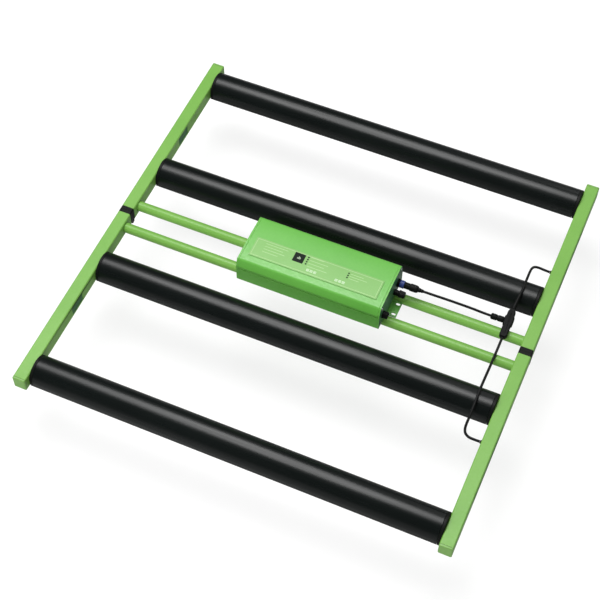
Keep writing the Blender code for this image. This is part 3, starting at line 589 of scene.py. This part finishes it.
# Lens covers: frosted polycarbonate channels snapped into the bars, on which the light can lie.
lens_frosted = make_finish(
    "frosted polycarbonate", (0.93, 0.94, 0.94), deep=(0.90, 0.92, 0.93), worn=(0.96, 0.96, 0.96),
    grains=2600.0, relief=0.00002, rough=(0.24, 0.34), patches=12.0, wear=0.1, transmission=0.60,
)
for number in range(1, 5):
    node = f"bar_{number}_lens"
    add_piece(
        f"bar_{number}_cover", shape_of(node), lens_frosted, BODY_OF_BAR[number],
        [node], rounding=0.0004, outward=False,
    )

# Driver: a die-cast tray and cover that meet at an open seam, in the frame's green coat, closed
# by two plates with four pan-head screws each, whose outer faces carry a darker green as painted
# shade. It lies over both rods.
DRIVER_SHELLS = ("driver_tray", "driver_cover")
# The driver coat's edges are lighter and reach further than wear alone would give: partly wear, partly
# a painted highlight along the rims.
driver_coat = make_finish(
    "green driver coat", (0.098, 0.342, 0.044), deep=(0.080, 0.305, 0.034), worn=(0.27, 0.50, 0.17),
    grains=1100.0, relief=0.00007, rough=(0.30, 0.44), patches=11.0, wear=0.75, reach=0.0010,
)
# Painted shade: a darker green for the end plates' outward faces.
plate_face_shade_coat = make_finish(
    "green end plate, painted shade", (0.052, 0.182, 0.082), deep=(0.043, 0.158, 0.070), worn=(0.09, 0.22, 0.09),
    grains=1100.0, relief=0.00006, rough=(0.36, 0.48), patches=20.0, wear=0.4,
)
for node in DRIVER_SHELLS:
    add_piece(
        f"{node}_casting", shape_of(node), driver_coat, "far_half",
        [node], rounding=0.0004, outward=False, steps=3,
    )
PLATE_SEAT = 0.00025  # the plates sit down on the shells' ends
SCREW_RADIUS = 0.0023
SCREW_HEIGHT = 0.0012
TURN_BETWEEN_SCREWS = 0.7
SCREW_PLACES = [(-0.0365, 0.0285), (0.0365, 0.0285), (-0.0345, 0.0580), (0.0345, 0.0580)]


def pan_head(r, height):
    """A screw's head of radius r on the plane x = 0, domed towards +X."""
    dome = [
        (0, 0), (0, r), (height * 0.45, r), (height * 0.8, r * 0.82), (height, r * 0.45), (height, 0),
    ]
    return lathe(dome, (0, 0, 0), turns=24)


def cross_slot(r, height):
    """A dark cross of painted shade where the screw's recess is, just proud of its head."""
    bm = bmesh.new()
    place = Matrix.Translation((height * 1.02, 0, 0))
    size = Matrix.Diagonal((height * 0.1, r * 0.24, r * 0.9, 1.0))
    for turn in (20, 110):
        spin = Matrix.Rotation(math.radians(turn), 4, "X")
        bmesh.ops.create_cube(bm, size=1.0, matrix=place @ spin @ size)
    return bm


# Painted shade: a near-black finish for the screws' cross recesses.
screw_recess_shade = make_finish(
    "painted screw recess shade", (0.045, 0.046, 0.048), deep=(0.030, 0.031, 0.033), worn=(0.25, 0.25, 0.26),
    grains=1500.0, relief=0.00001, rough=(0.28, 0.40), metallic=0.8,
    patches=90.0, wear=0.5, reach=0.0003,
)


def gather(whole, part):
    """Moves a part's faces into a whole."""
    held = bpy.data.meshes.new("part")
    part.to_mesh(held)
    part.free()
    whole.from_mesh(held)
    bpy.data.meshes.remove(held)


def add_screws(name, spots, direction, radius, height, body):
    """Screws at points on a face, whose heads stand out along a direction."""
    heads, slots = bmesh.new(), bmesh.new()
    aim = Vector((1, 0, 0)).rotation_difference(Vector(direction)).to_matrix().to_4x4()
    for n, spot in enumerate(spots):
        turn = Matrix.Rotation(n * TURN_BETWEEN_SCREWS, 4, "X")
        for part, whole in ((pan_head(radius, height), heads), (cross_slot(radius, height), slots)):
            bmesh.ops.transform(part, matrix=Matrix.Translation(spot) @ aim @ turn, verts=part.verts)
            gather(whole, part)
    add_piece(f"{name}_heads", heads, bright_steel, body)
    # The crosses are painted shade standing for the recesses in the heads.
    add_piece(f"{name}_slots", slots, screw_recess_shade, body)


for side, out in (("left", -1), ("right", 1)):
    node = f"driver_end_plate_{side}"
    low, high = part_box(node)
    face = high.x if out > 0 else low.x
    bm = shape_of(node)
    # The outward face takes the painted shade coat, and the rest takes the driver coat.
    for each in bm.faces:
        each.material_index = 1 if each.normal.x * out > 0.9 else 0
    inner = min(v.co.x * out for v in bm.verts)
    for v in bm.verts:
        if v.co.x * out < inner + FACE_TOLERANCE:
            v.co.x -= out * PLATE_SEAT
    add_piece(
        f"driver_plate_{side}", bm, [driver_coat, plate_face_shade_coat], "far_half",
        [node], rounding=0.0004, outward=False, steps=3,
    )
    spots = [(face, y, z) for y, z in SCREW_PLACES]
    add_screws(f"plate_screws_{side}", spots, (out, 0, 0), SCREW_RADIUS, SCREW_HEIGHT, "far_half")

potting = make_finish(
    "potting compound", (0.050, 0.050, 0.052), deep=(0.035, 0.035, 0.037), worn=(0.07, 0.07, 0.07),
    grains=500.0, relief=0.0001, rough=(0.5, 0.7), patches=40.0, wear=0.1,
)
add_piece(
    "potted_circuit", shape_of("power_circuit"), potting, "far_half",
    ["power_circuit"], rounding=0.0008, outward=False,
)

# Rating panel: a thin satin plate on the driver's arched top, printed with a border, a square,
# rows of dots and a few rules. The print is generic.
panel_coat = make_finish(
    "pale green panel", (0.158, 0.350, 0.090), deep=(0.136, 0.322, 0.074), worn=(0.24, 0.42, 0.16),
    grains=2600.0, relief=0.00002, rough=(0.36, 0.46), patches=9.0, wear=0.3, specular=0.4,
)
print_dark = make_finish(
    "black print", (0.008, 0.014, 0.009), deep=(0.006, 0.010, 0.007), worn=(0.03, 0.04, 0.03),
    grains=3000.0, relief=0.00001, rough=(0.50, 0.62), patches=60.0, wear=0.2, specular=0.1,
)
print_pale = make_finish(
    "pale print", (0.31, 0.49, 0.21), deep=(0.28, 0.45, 0.18), worn=(0.36, 0.52, 0.26),
    grains=3000.0, relief=0.00001, rough=(0.45, 0.58), patches=60.0, wear=0.1,
)
print_white = make_finish(
    "white print", (0.50, 0.62, 0.44), deep=(0.44, 0.56, 0.38), worn=(0.56, 0.66, 0.50),
    grains=3000.0, relief=0.00001, rough=(0.45, 0.58), patches=60.0, wear=0.1,
)
add_piece(
    "rating_panel", shape_of("driver_panel"), panel_coat, "far_half",
    ["driver_panel"], rounding=0.0001, outward=False,
)
PRINT_THICKNESS = 0.00003
PRINT_SUNK = 0.00002
PATCH_ROW = 0.002
DRIVER_ARCH_RISE = 0.0012
DRIVER_ARCH_HALF = 0.0345
PANEL_STANDOFF = 0.0008
panel_low, panel_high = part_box("driver_panel")
cover_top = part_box("driver_cover")[1].z


def panel_surface(y):
    """The height of the panel's face, which follows the cover's arch."""
    return cover_top - DRIVER_ARCH_RISE * (y / DRIVER_ARCH_HALF) ** 2 + PANEL_STANDOFF - PRINT_SUNK


def thicken(bm, outline):
    """Gives a flat mark the thickness of the ink, and returns its upper points."""
    faces = list({f for v in outline for f in v.link_faces})
    solid = bmesh.ops.extrude_face_region(bm, geom=faces, use_keep_orig=True)["geom"]
    top = [v for v in solid if isinstance(v, bmesh.types.BMVert)]
    bmesh.ops.translate(bm, verts=top, vec=(0, 0, PRINT_THICKNESS))
    return top


def print_patch(bm, x0, x1, y0, y1):
    """A printed rectangle that follows the panel's arch."""
    rows = max(1, round((y1 - y0) / PATCH_ROW))
    grid = bmesh.ops.create_grid(bm, x_segments=1, y_segments=rows, size=0.5)["verts"]
    for v in grid:
        v.co = (x0 + (v.co.x + 0.5) * (x1 - x0), y0 + (v.co.y + 0.5) * (y1 - y0), 0)
    for v in grid + thicken(bm, grid):
        v.co.z += panel_surface(v.co.y)


def print_dot(bm, x, y, radius):
    """A printed round dot."""
    disc = bmesh.ops.create_circle(bm, cap_ends=True, radius=radius, segments=16)["verts"]
    top = thicken(bm, disc)
    bmesh.ops.translate(bm, verts=disc + top, vec=(x, y, panel_surface(y)))


dark, pale, white = bmesh.new(), bmesh.new(), bmesh.new()

# The square with three plain bars on it.
SQUARE_X, SQUARE_Y = -0.0268, -0.0060
SQUARE_HALF = 0.0075
SQUARE_BARS = [(-0.0016, 0.0022), (0.0, 0.0040), (0.0016, 0.0030)]  # place and height
SQUARE_BAR_FOOT = -0.0020
SQUARE_BAR_HALF = 0.0004
print_patch(
    dark, SQUARE_X - SQUARE_HALF, SQUARE_X + SQUARE_HALF,
    SQUARE_Y - SQUARE_HALF, SQUARE_Y + SQUARE_HALF,
)

# The columns of dots: place, first dot, pitch, radius and count.
DOT_COLUMNS = [(-0.0150, -0.0005, 0.0037, 0.0013, 4), (0.0433, -0.0030, 0.0036, 0.0012, 3)]
for x, first, pitch, radius, count in DOT_COLUMNS:
    for n in range(count):
        print_dot(dark, x, first - n * pitch, radius)

# The border and the rules, each from one place to another at its own height.
BORDER = 0.0006
BORDER_INSET = 0.0020
RULE_WIDTH = 0.0007
RULES = [
    (-0.0120, 0.0060, 0.0008), (-0.0120, 0.0140, -0.0042), (-0.0120, 0.0100, -0.0092),
    (-0.0120, 0.0160, -0.0142), (0.0460, 0.0640, -0.0033), (0.0460, 0.0700, -0.0071),
    (0.0460, 0.0600, -0.0109), (-0.0760, -0.0440, -0.0020), (-0.0760, -0.0500, -0.0065),
    (-0.0760, -0.0460, -0.0110), (-0.0760, -0.0540, -0.0155),
]
left, right = panel_low.x + BORDER_INSET, panel_high.x - BORDER_INSET
front, rear = panel_low.y + BORDER_INSET, panel_high.y - BORDER_INSET
for y in (front, rear - BORDER):
    print_patch(pale, left, right, y, y + BORDER)
for x in (left, right - BORDER):
    print_patch(pale, x, x + BORDER, front + BORDER, rear - BORDER)
for x0, x1, y in RULES:
    print_patch(pale, x0, x1, y - RULE_WIDTH / 2, y + RULE_WIDTH / 2)

# The empty boxes with a dot in each, and then the bars on the square.
BOX_SIZE = 0.0036
BOX_BASE = -0.0215
BOX_TOP = BOX_BASE + BOX_SIZE
for x in (-0.0105, -0.0055, -0.0005, 0.0300, 0.0350, 0.0400):
    print_patch(white, x, x + BOX_SIZE, BOX_BASE, BOX_BASE + BORDER)
    print_patch(white, x, x + BOX_SIZE, BOX_TOP - BORDER, BOX_TOP)
    print_patch(white, x, x + BORDER, BOX_BASE + BORDER, BOX_TOP - BORDER)
    print_patch(white, x + BOX_SIZE - BORDER, x + BOX_SIZE, BOX_BASE + BORDER, BOX_TOP - BORDER)
    print_dot(white, x + BOX_SIZE / 2, BOX_BASE + BOX_SIZE / 2, BOX_SIZE * 0.2)
for place, tall in SQUARE_BARS:
    x, foot = SQUARE_X + place, SQUARE_Y + SQUARE_BAR_FOOT
    print_patch(white, x - SQUARE_BAR_HALF, x + SQUARE_BAR_HALF, foot, foot + tall)
bmesh.ops.translate(white, verts=white.verts, vec=(0, 0, PRINT_THICKNESS / 3))
add_piece("panel_print_white", white, print_white, "far_half")
add_piece("panel_print_dark", dark, print_dark, "far_half")
add_piece("panel_print_pale", pale, print_pale, "far_half")

# Mounting strap and rod clamps: pressed steel in the same green, the strap flat under the tray
# with slotted ends bent down between the rods, the clamps screwed up against it round the far rod.
add_piece(
    "slotted_strap", shape_of("mounting_strap"), driver_coat, "far_half",
    ["mounting_strap"], rounding=0.0003, outward=False,
)
CLAMP_SCREW_RADIUS = 0.0024
CLAMP_SCREW_HEIGHT = 0.0016
CLAMP_EAR_MIDDLE = 0.0043
CLAMP_THICKNESS = 0.0015
STRAP_THICKNESS = 0.0020
EAR_GAP = 0.0003
ear_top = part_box("mounting_strap")[1].z - STRAP_THICKNESS - EAR_GAP
for side in SIDES:
    node = f"rod_clamp_{side}"
    low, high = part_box(node)
    add_piece(
        f"pipe_clamp_{side}", shape_of(node), driver_coat, "far_half",
        [node], rounding=0.0003, outward=False,
    )
    middle = (low.x + high.x) / 2
    ears = [
        (middle, low.y + CLAMP_EAR_MIDDLE, ear_top - CLAMP_THICKNESS),
        (middle, high.y - CLAMP_EAR_MIDDLE, high.z - CLAMP_THICKNESS),
    ]
    add_screws(
        f"clamp_screws_{side}", ears, (0, 0, -1), CLAMP_SCREW_RADIUS, CLAMP_SCREW_HEIGHT, "far_half"
    )

# Output socket, seal and plug: a threaded nylon socket in the end plate, a blue silicone seal, and
# a moulded plug with a ribbed collar and a fluted grip, from which the lead leaves in a short boot.
blue_seal = make_finish(
    "blue silicone seal", (0.028, 0.050, 0.205), deep=(0.020, 0.038, 0.165), worn=(0.06, 0.09, 0.28),
    grains=2400.0, relief=0.00003, rough=(0.38, 0.50), patches=70.0, wear=0.2,
)


def ridged(start, end, radius, ridges, depth):
    """A profile that runs along a radius with evenly spaced ridges standing out from it."""
    pitch = (end - start) / ridges
    steps = []
    for n in range(ridges):
        at = start + n * pitch
        steps += [
            (at + pitch * 0.10, radius - depth), (at + pitch * 0.32, radius),
            (at + pitch * 0.68, radius), (at + pitch * 0.90, radius - depth),
        ]
    return steps


def axis_of(node):
    """A turned node's two corners, a point on its axis at x = 0, and its radius."""
    low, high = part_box(node)
    return low, high, (0, (low.y + high.y) / 2, (low.z + high.z) / 2), (high.z - low.z) / 2


low, high, centre, r = axis_of("output_socket")
length = high.x - low.x
socket_profile = [
    (low.x, 0), (low.x, r * 0.97), (low.x + length * 0.08, r), (low.x + length * 0.42, r),
]
socket_profile += ridged(low.x + length * 0.42, high.x, r * 0.92, 2, 0.0003)
socket_profile += [(high.x, r * 0.80), (high.x, 0)]
add_piece(
    "threaded_socket", lathe(socket_profile, centre), black_moulded, "far_half",
    ["output_socket"],
)
low, high, centre, r = axis_of("seal_ring")
seal_profile = [
    (low.x, 0), (low.x, r * 0.9), *ridged(low.x, high.x, r, 3, 0.0004), (high.x, r * 0.9), (high.x, 0),
]
add_piece(
    "silicone_seal", lathe(seal_profile, centre), blue_seal, "far_half", ["seal_ring"]
)


def flute(bm, centre, start, end, outside, count, depth):
    """Grip flutes along a turned piece from start to end, as deep as a share of its radius."""
    for v in bm.verts:
        arm = Vector((0, v.co.y - centre[1], v.co.z - centre[2]))
        if start < v.co.x < end and arm.length > outside:
            turn = math.atan2(arm.z, arm.y)
            v.co -= arm * (depth * (0.5 + 0.5 * math.cos(count * turn)))


low, high, centre, r = axis_of("output_plug")
length = high.x - low.x
collar = low.x + length * 0.36
plug_profile = [(low.x, 0), (low.x, r * 0.82)] + ridged(low.x, collar, r * 0.90, 4, 0.0005)
plug_profile += [
    (collar + 0.0004, r * 0.82), (collar + 0.0012, r * 0.97), (collar + 0.0020, r),
    (high.x - length * 0.16, r), (high.x - length * 0.08, r * 0.93), (high.x, r * 0.72), (high.x, 0),
]
bm = lathe(plug_profile, centre, turns=72)
flute(bm, centre, collar + 0.0016, high.x - length * 0.10, outside=r * 0.9, count=12, depth=0.035)
plug = add_piece("moulded_plug", bm, black_moulded, "far_half", ["output_plug"])

# Dimmer: a nylon bushing and a fluted knob on a shaft, with a pale pointer line to read its turn.
add_piece(
    "dimmer_collar", shape_of("dimmer_bushing"), black_moulded, "far_half",
    ["dimmer_bushing"], rounding=0.0003, outward=False,
)
SHAFT_RADIUS = 0.0020
GRIP_LENGTH = 0.0084
GRIP_DISH = 0.0002
POINTER_THICKNESS = 0.00018
POINTER_WIDTH = 0.0007
low, high, centre, r = axis_of("dimmer_knob")
skirt, length = high.x - GRIP_LENGTH, GRIP_LENGTH
knob_profile = [
    (low.x, 0), (low.x, SHAFT_RADIUS), (skirt, SHAFT_RADIUS), (skirt, r * 0.94),
    (skirt + length * 0.06, r), (skirt + length * 0.20, r), (skirt + length * 0.24, r * 0.95),
    (skirt + length * 0.84, r * 0.92), (skirt + length * 0.93, r * 0.88), (high.x, r * 0.76),
    (high.x - GRIP_DISH, r * 0.5), (high.x - GRIP_DISH, 0),
]
bm = lathe(knob_profile, centre, turns=96)
flute(
    bm, centre, skirt + length * 0.22, high.x - length * 0.05, outside=r * 0.8, count=16, depth=0.05
)
add_piece("fluted_knob", bm, black_moulded, "dimmer", ["dimmer_knob"])
white_mark = make_finish(
    "white pointer paint", (0.80, 0.80, 0.78), deep=(0.72, 0.72, 0.70), worn=(0.85, 0.85, 0.85),
    grains=3000.0, relief=0.00001, rough=(0.4, 0.5), patches=80.0, wear=0.2,
)
bm = bmesh.new()
place = Matrix.Translation((high.x - POINTER_THICKNESS / 2, centre[1], centre[2] + r * 0.42))
size = Matrix.Diagonal((POINTER_THICKNESS, POINTER_WIDTH, r * 0.52, 1.0))
bmesh.ops.create_cube(bm, size=1.0, matrix=place @ size)
add_piece("knob_pointer", bm, white_mark, "dimmer")

# Mains inlet: a round nylon shell with three grip rings, moulded round three brass pins that
# stand in its bore. The mains cord plugs in here.
INLET_BORE = 0.0037
INLET_DEPTH = 0.0060
low, high, centre, r = axis_of("mains_inlet")
length = high.x - low.x
inlet_profile = [
    (low.x, 0), (low.x, r), (low.x + length * 0.25, r), (low.x + length * 0.27, r * 0.93),
]
inlet_profile += ridged(low.x + length * 0.30, high.x - length * 0.12, r * 0.98, 3, 0.00035)
inlet_profile += [
    (high.x - length * 0.1, r * 0.95), (high.x, r * 0.90), (high.x, INLET_BORE),
    (high.x - INLET_DEPTH, INLET_BORE), (high.x - INLET_DEPTH, 0),
]
add_piece(
    "inlet_shell", lathe(inlet_profile, centre), black_moulded, "far_half",
    ["mains_inlet"],
)
brass = make_finish(
    "brass", (0.62, 0.44, 0.17), deep=(0.52, 0.36, 0.13), worn=(0.75, 0.58, 0.28),
    grains=1800.0, relief=0.00001, rough=(0.22, 0.34), metallic=1.0,
    patches=150.0, wear=0.3, reach=0.0002,
)
PIN_RADIUS = 0.00055
PIN_REACH = 0.0042
PIN_CIRCLE = 0.0019
start = high.x - INLET_DEPTH
brass_profile = [
    (start, 0), (start, PIN_RADIUS), (start + PIN_REACH * 0.9, PIN_RADIUS),
    (start + PIN_REACH, PIN_RADIUS * 0.6), (start + PIN_REACH, 0),
]
bm = bmesh.new()
for turn in (90, 210, 330):
    y = centre[1] + PIN_CIRCLE * math.cos(math.radians(turn))
    z = centre[2] + PIN_CIRCLE * math.sin(math.radians(turn))
    gather(bm, lathe(brass_profile, (0, y, z), turns=16))
add_piece("inlet_pins", bm, brass, "far_half")

# Splitter: a soft moulded strip with a hump on each side and a low spine, which lies on the far
# rod beside the rail. Its own plug enters on the left and carries three grip rings.
SPLITTER_MIDDLE = Vector((0.2554, 0.0317, 0.0254))
SPLITTER_TURN = math.radians(1.4)
SPINE = (0.0022, 0.0330, 0.0012)
SPINE_ROUNDING = 0.0005
SPINE_OFFSET = -0.0010
BRANCH_PLUG_RADIUS = 0.0044
BRANCH_PLUG_LENGTH = 0.0175
BRANCH_PLUG_END = -0.0068
BRANCH_PLUG_OFFSET = 0.0035
splitter_place = Matrix.Translation(SPLITTER_MIDDLE) @ Matrix.Rotation(SPLITTER_TURN, 4, "Z")
splitter = add_piece(
    "splitter_body", shape_of("splitter"), black_moulded, "far_half",
    ["splitter"], rounding=0.0011, outward=False, steps=4,
)
splitter_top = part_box("splitter")[1].z
bm = bmesh.new()
bmesh.ops.create_cube(bm, size=1.0, matrix=Matrix.Diagonal((*SPINE, 1.0)))
bmesh.ops.bevel(
    bm, geom=bm.edges[:], offset=SPINE_ROUNDING, segments=3, profile=0.5, affect="EDGES",
    material=-1, clamp_overlap=True,
)
bmesh.ops.translate(bm, verts=bm.verts, vec=(0, SPINE_OFFSET, splitter_top - SPLITTER_MIDDLE.z))
bmesh.ops.transform(bm, matrix=splitter_place, verts=bm.verts)
spine = add_piece("splitter_spine", bm, black_moulded, "far_half")

r, length = BRANCH_PLUG_RADIUS, BRANCH_PLUG_LENGTH
start = BRANCH_PLUG_END - length
plug_profile = [
    (start, 0), (start, r * 0.66), (start + length * 0.06, r * 0.92), (start + length * 0.11, r),
]
plug_profile += ridged(start + length * 0.12, start + length * 0.46, r, 3, 0.0005)
plug_profile += [
    (start + length * 0.50, r * 0.80), (start + length * 0.56, r * 0.80),
    (start + length * 0.58, r * 0.94), (start + length * 0.98, r * 0.94),
    (start + length, r * 0.90), (start + length, 0),
]
bm = lathe(plug_profile, (0, BRANCH_PLUG_OFFSET, 0), turns=48)
bmesh.ops.transform(bm, matrix=splitter_place, verts=bm.verts)
branch_plug = add_piece(
    "splitter_inlet_plug", bm, black_moulded, "far_half", ["splitter_plug"]
)

# Leads: round two-core cable in matt black PVC. One runs from the driver's plug down to the
# splitter, and one from the splitter into each half of the right rail, over the inner bars.
LEAD_DIAMETER = 0.0035
LEAD_STEPS = 6  # points of a lead's line from one point of its route to the next
BOOT_STEPS = 8  # points of a boot's line from one point of its lead's line to the next
MAIN_ROUTE = [
    (0.1319, 0.0245, 0.0410), (0.1400, 0.0250, 0.0404), (0.1520, 0.0261, 0.0389),
    (0.1690, 0.0281, 0.0364), (0.1880, 0.0303, 0.0332), (0.2060, 0.0323, 0.0299),
    (0.2195, 0.0337, 0.0270), (0.2307, 0.0346, 0.0254),
]
FAR_ROUTE = [
    (0.2548, 0.0559, 0.0254), (0.2551, 0.0620, 0.0264), (0.2561, 0.0720, 0.0312),
    (0.2570, 0.0810, 0.0340), (0.2573, 0.0900, 0.0350), (0.2568, 0.1010, 0.0326),
    (0.2562, 0.1130, 0.0280), (0.2558, 0.1240, 0.0235), (0.2561, 0.1325, 0.0199),
    (0.2583, 0.1382, 0.0175), (0.2640, 0.1406, 0.0160), (0.2720, 0.1407, 0.0150),
    (0.2794, 0.1405, 0.0148),
]
NEAR_ROUTE = [
    (0.2560, 0.0079, 0.0254), (0.2560, 0.0000, 0.0251), (0.2560, -0.0100, 0.0243),
    (0.2559, -0.0206, 0.0238), (0.2559, -0.0330, 0.0245), (0.2560, -0.0460, 0.0265),
    (0.2561, -0.0580, 0.0292), (0.2563, -0.0700, 0.0325), (0.2565, -0.0800, 0.0344),
    (0.2567, -0.0900, 0.0351), (0.2569, -0.1010, 0.0339), (0.2570, -0.1120, 0.0308),
    (0.2568, -0.1225, 0.0269), (0.2565, -0.1300, 0.0235), (0.2569, -0.1360, 0.0203),
    (0.2594, -0.1407, 0.0178), (0.2650, -0.1432, 0.0160), (0.2725, -0.1432, 0.0150),
    (0.2794, -0.1430, 0.0148),
]
pvc_black = make_finish(
    "matt black PVC", (0.0085, 0.0088, 0.0088), deep=(0.0060, 0.0064, 0.0064), worn=(0.02, 0.02, 0.02),
    grains=1800.0, relief=0.00003, rough=(0.46, 0.60), patches=45.0, wear=0.1, specular=0.15,
)


def smooth_line(route):
    """Points on the Catmull-Rom curve through the route's points."""
    points = [Vector(p) for p in route]
    padded = [2 * points[0] - points[1], *points, 2 * points[-1] - points[-2]]
    line = []
    for a, b, c, d in zip(padded, padded[1:], padded[2:], padded[3:]):
        for i in range(LEAD_STEPS):
            t = i / LEAD_STEPS
            turn_in = (2 * a - 5 * b + 4 * c - d) * t**2
            turn_out = (3 * b - a - 3 * c + d) * t**3
            line.append(0.5 * ((2 * b) + (c - a) * t + turn_in + turn_out))
    line.append(points[-1])
    return line


def draw_tube(name, line, radii, finish, replaced=(), body="far_half"):
    """A round tube along a line, with its own radius at each point, as a mesh."""
    curve = bpy.data.curves.new(name, "CURVE")
    curve.dimensions = "3D"
    curve.bevel_depth = 1.0
    curve.bevel_resolution = 6
    curve.use_fill_caps = True
    spline = curve.splines.new("POLY")
    spline.points.add(len(line) - 1)
    for point, place, radius in zip(spline.points, line, radii):
        point.co = (*place, 1.0)
        point.radius = radius
    drawn = bpy.data.objects.new(name, curve)
    bpy.context.scene.collection.objects.link(drawn)
    bpy.context.view_layer.update()
    mesh = bpy.data.meshes.new_from_object(drawn.evaluated_get(bpy.context.evaluated_depsgraph_get()))
    bpy.data.objects.remove(drawn)
    bm = bmesh.new()
    bm.from_mesh(mesh)
    bpy.data.meshes.remove(mesh)
    return add_piece(name, bm, finish, body, replaced)


def draw_lead(name, route, node, body="far_half"):
    """A lead along a route, in place of its node, and the line that it follows."""
    line = smooth_line(route)
    radii = [LEAD_DIAMETER / 2] * len(line)
    return draw_tube(name, line, radii, pvc_black, [node], body), line


main_cable, main_line = draw_lead("output_cable", MAIN_ROUTE, "main_lead")
far_cable, far_line = draw_lead("branch_cable_far", FAR_ROUTE, "lead_far")
near_cable, near_line = draw_lead("branch_cable_near", NEAR_ROUTE, "lead_near", body=None)


def draw_boot(name, line, reach, start_radius, end_radius, rings=0, ring_depth=0.0):
    """A tapered strain relief on the first part of a line, with soft rings moulded round it."""
    fine = []
    for a, b in zip(line, line[1:]):
        fine += [a.lerp(b, i / BOOT_STEPS) for i in range(BOOT_STEPS)]
    boot_line, radii, along = [], [], 0.0
    for a, b in zip(fine, fine[1:]):
        if along > reach:
            break
        share = along / reach
        ring = 0.5 + 0.5 * math.cos(2 * math.pi * rings * share)
        boot_line.append(a)
        radii.append(start_radius + (end_radius - start_radius) * share - ring_depth * ring)
        along += (b - a).length
    return draw_tube(name, boot_line, radii, black_moulded)


output_boot = draw_boot(
    "output_boot", main_line, reach=0.0070, start_radius=0.0034, end_radius=0.0022,
    rings=2, ring_depth=0.0003,
)
branch_boot = draw_boot(
    "branch_boot_far", far_line, reach=0.0250, start_radius=0.0033, end_radius=0.0020
)

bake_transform(near_cable)

# Grommets: soft rubber bushes that line the rails' wire holes, one for each branch lead.
for half in HALVES:
    node = f"grommet_{half}"
    add_piece(
        f"wire_grommet_{half}", shape_of(node), pvc_black, BODY_OF_HALF[half],
        [node], rounding=0.0002, outward=False,
    )
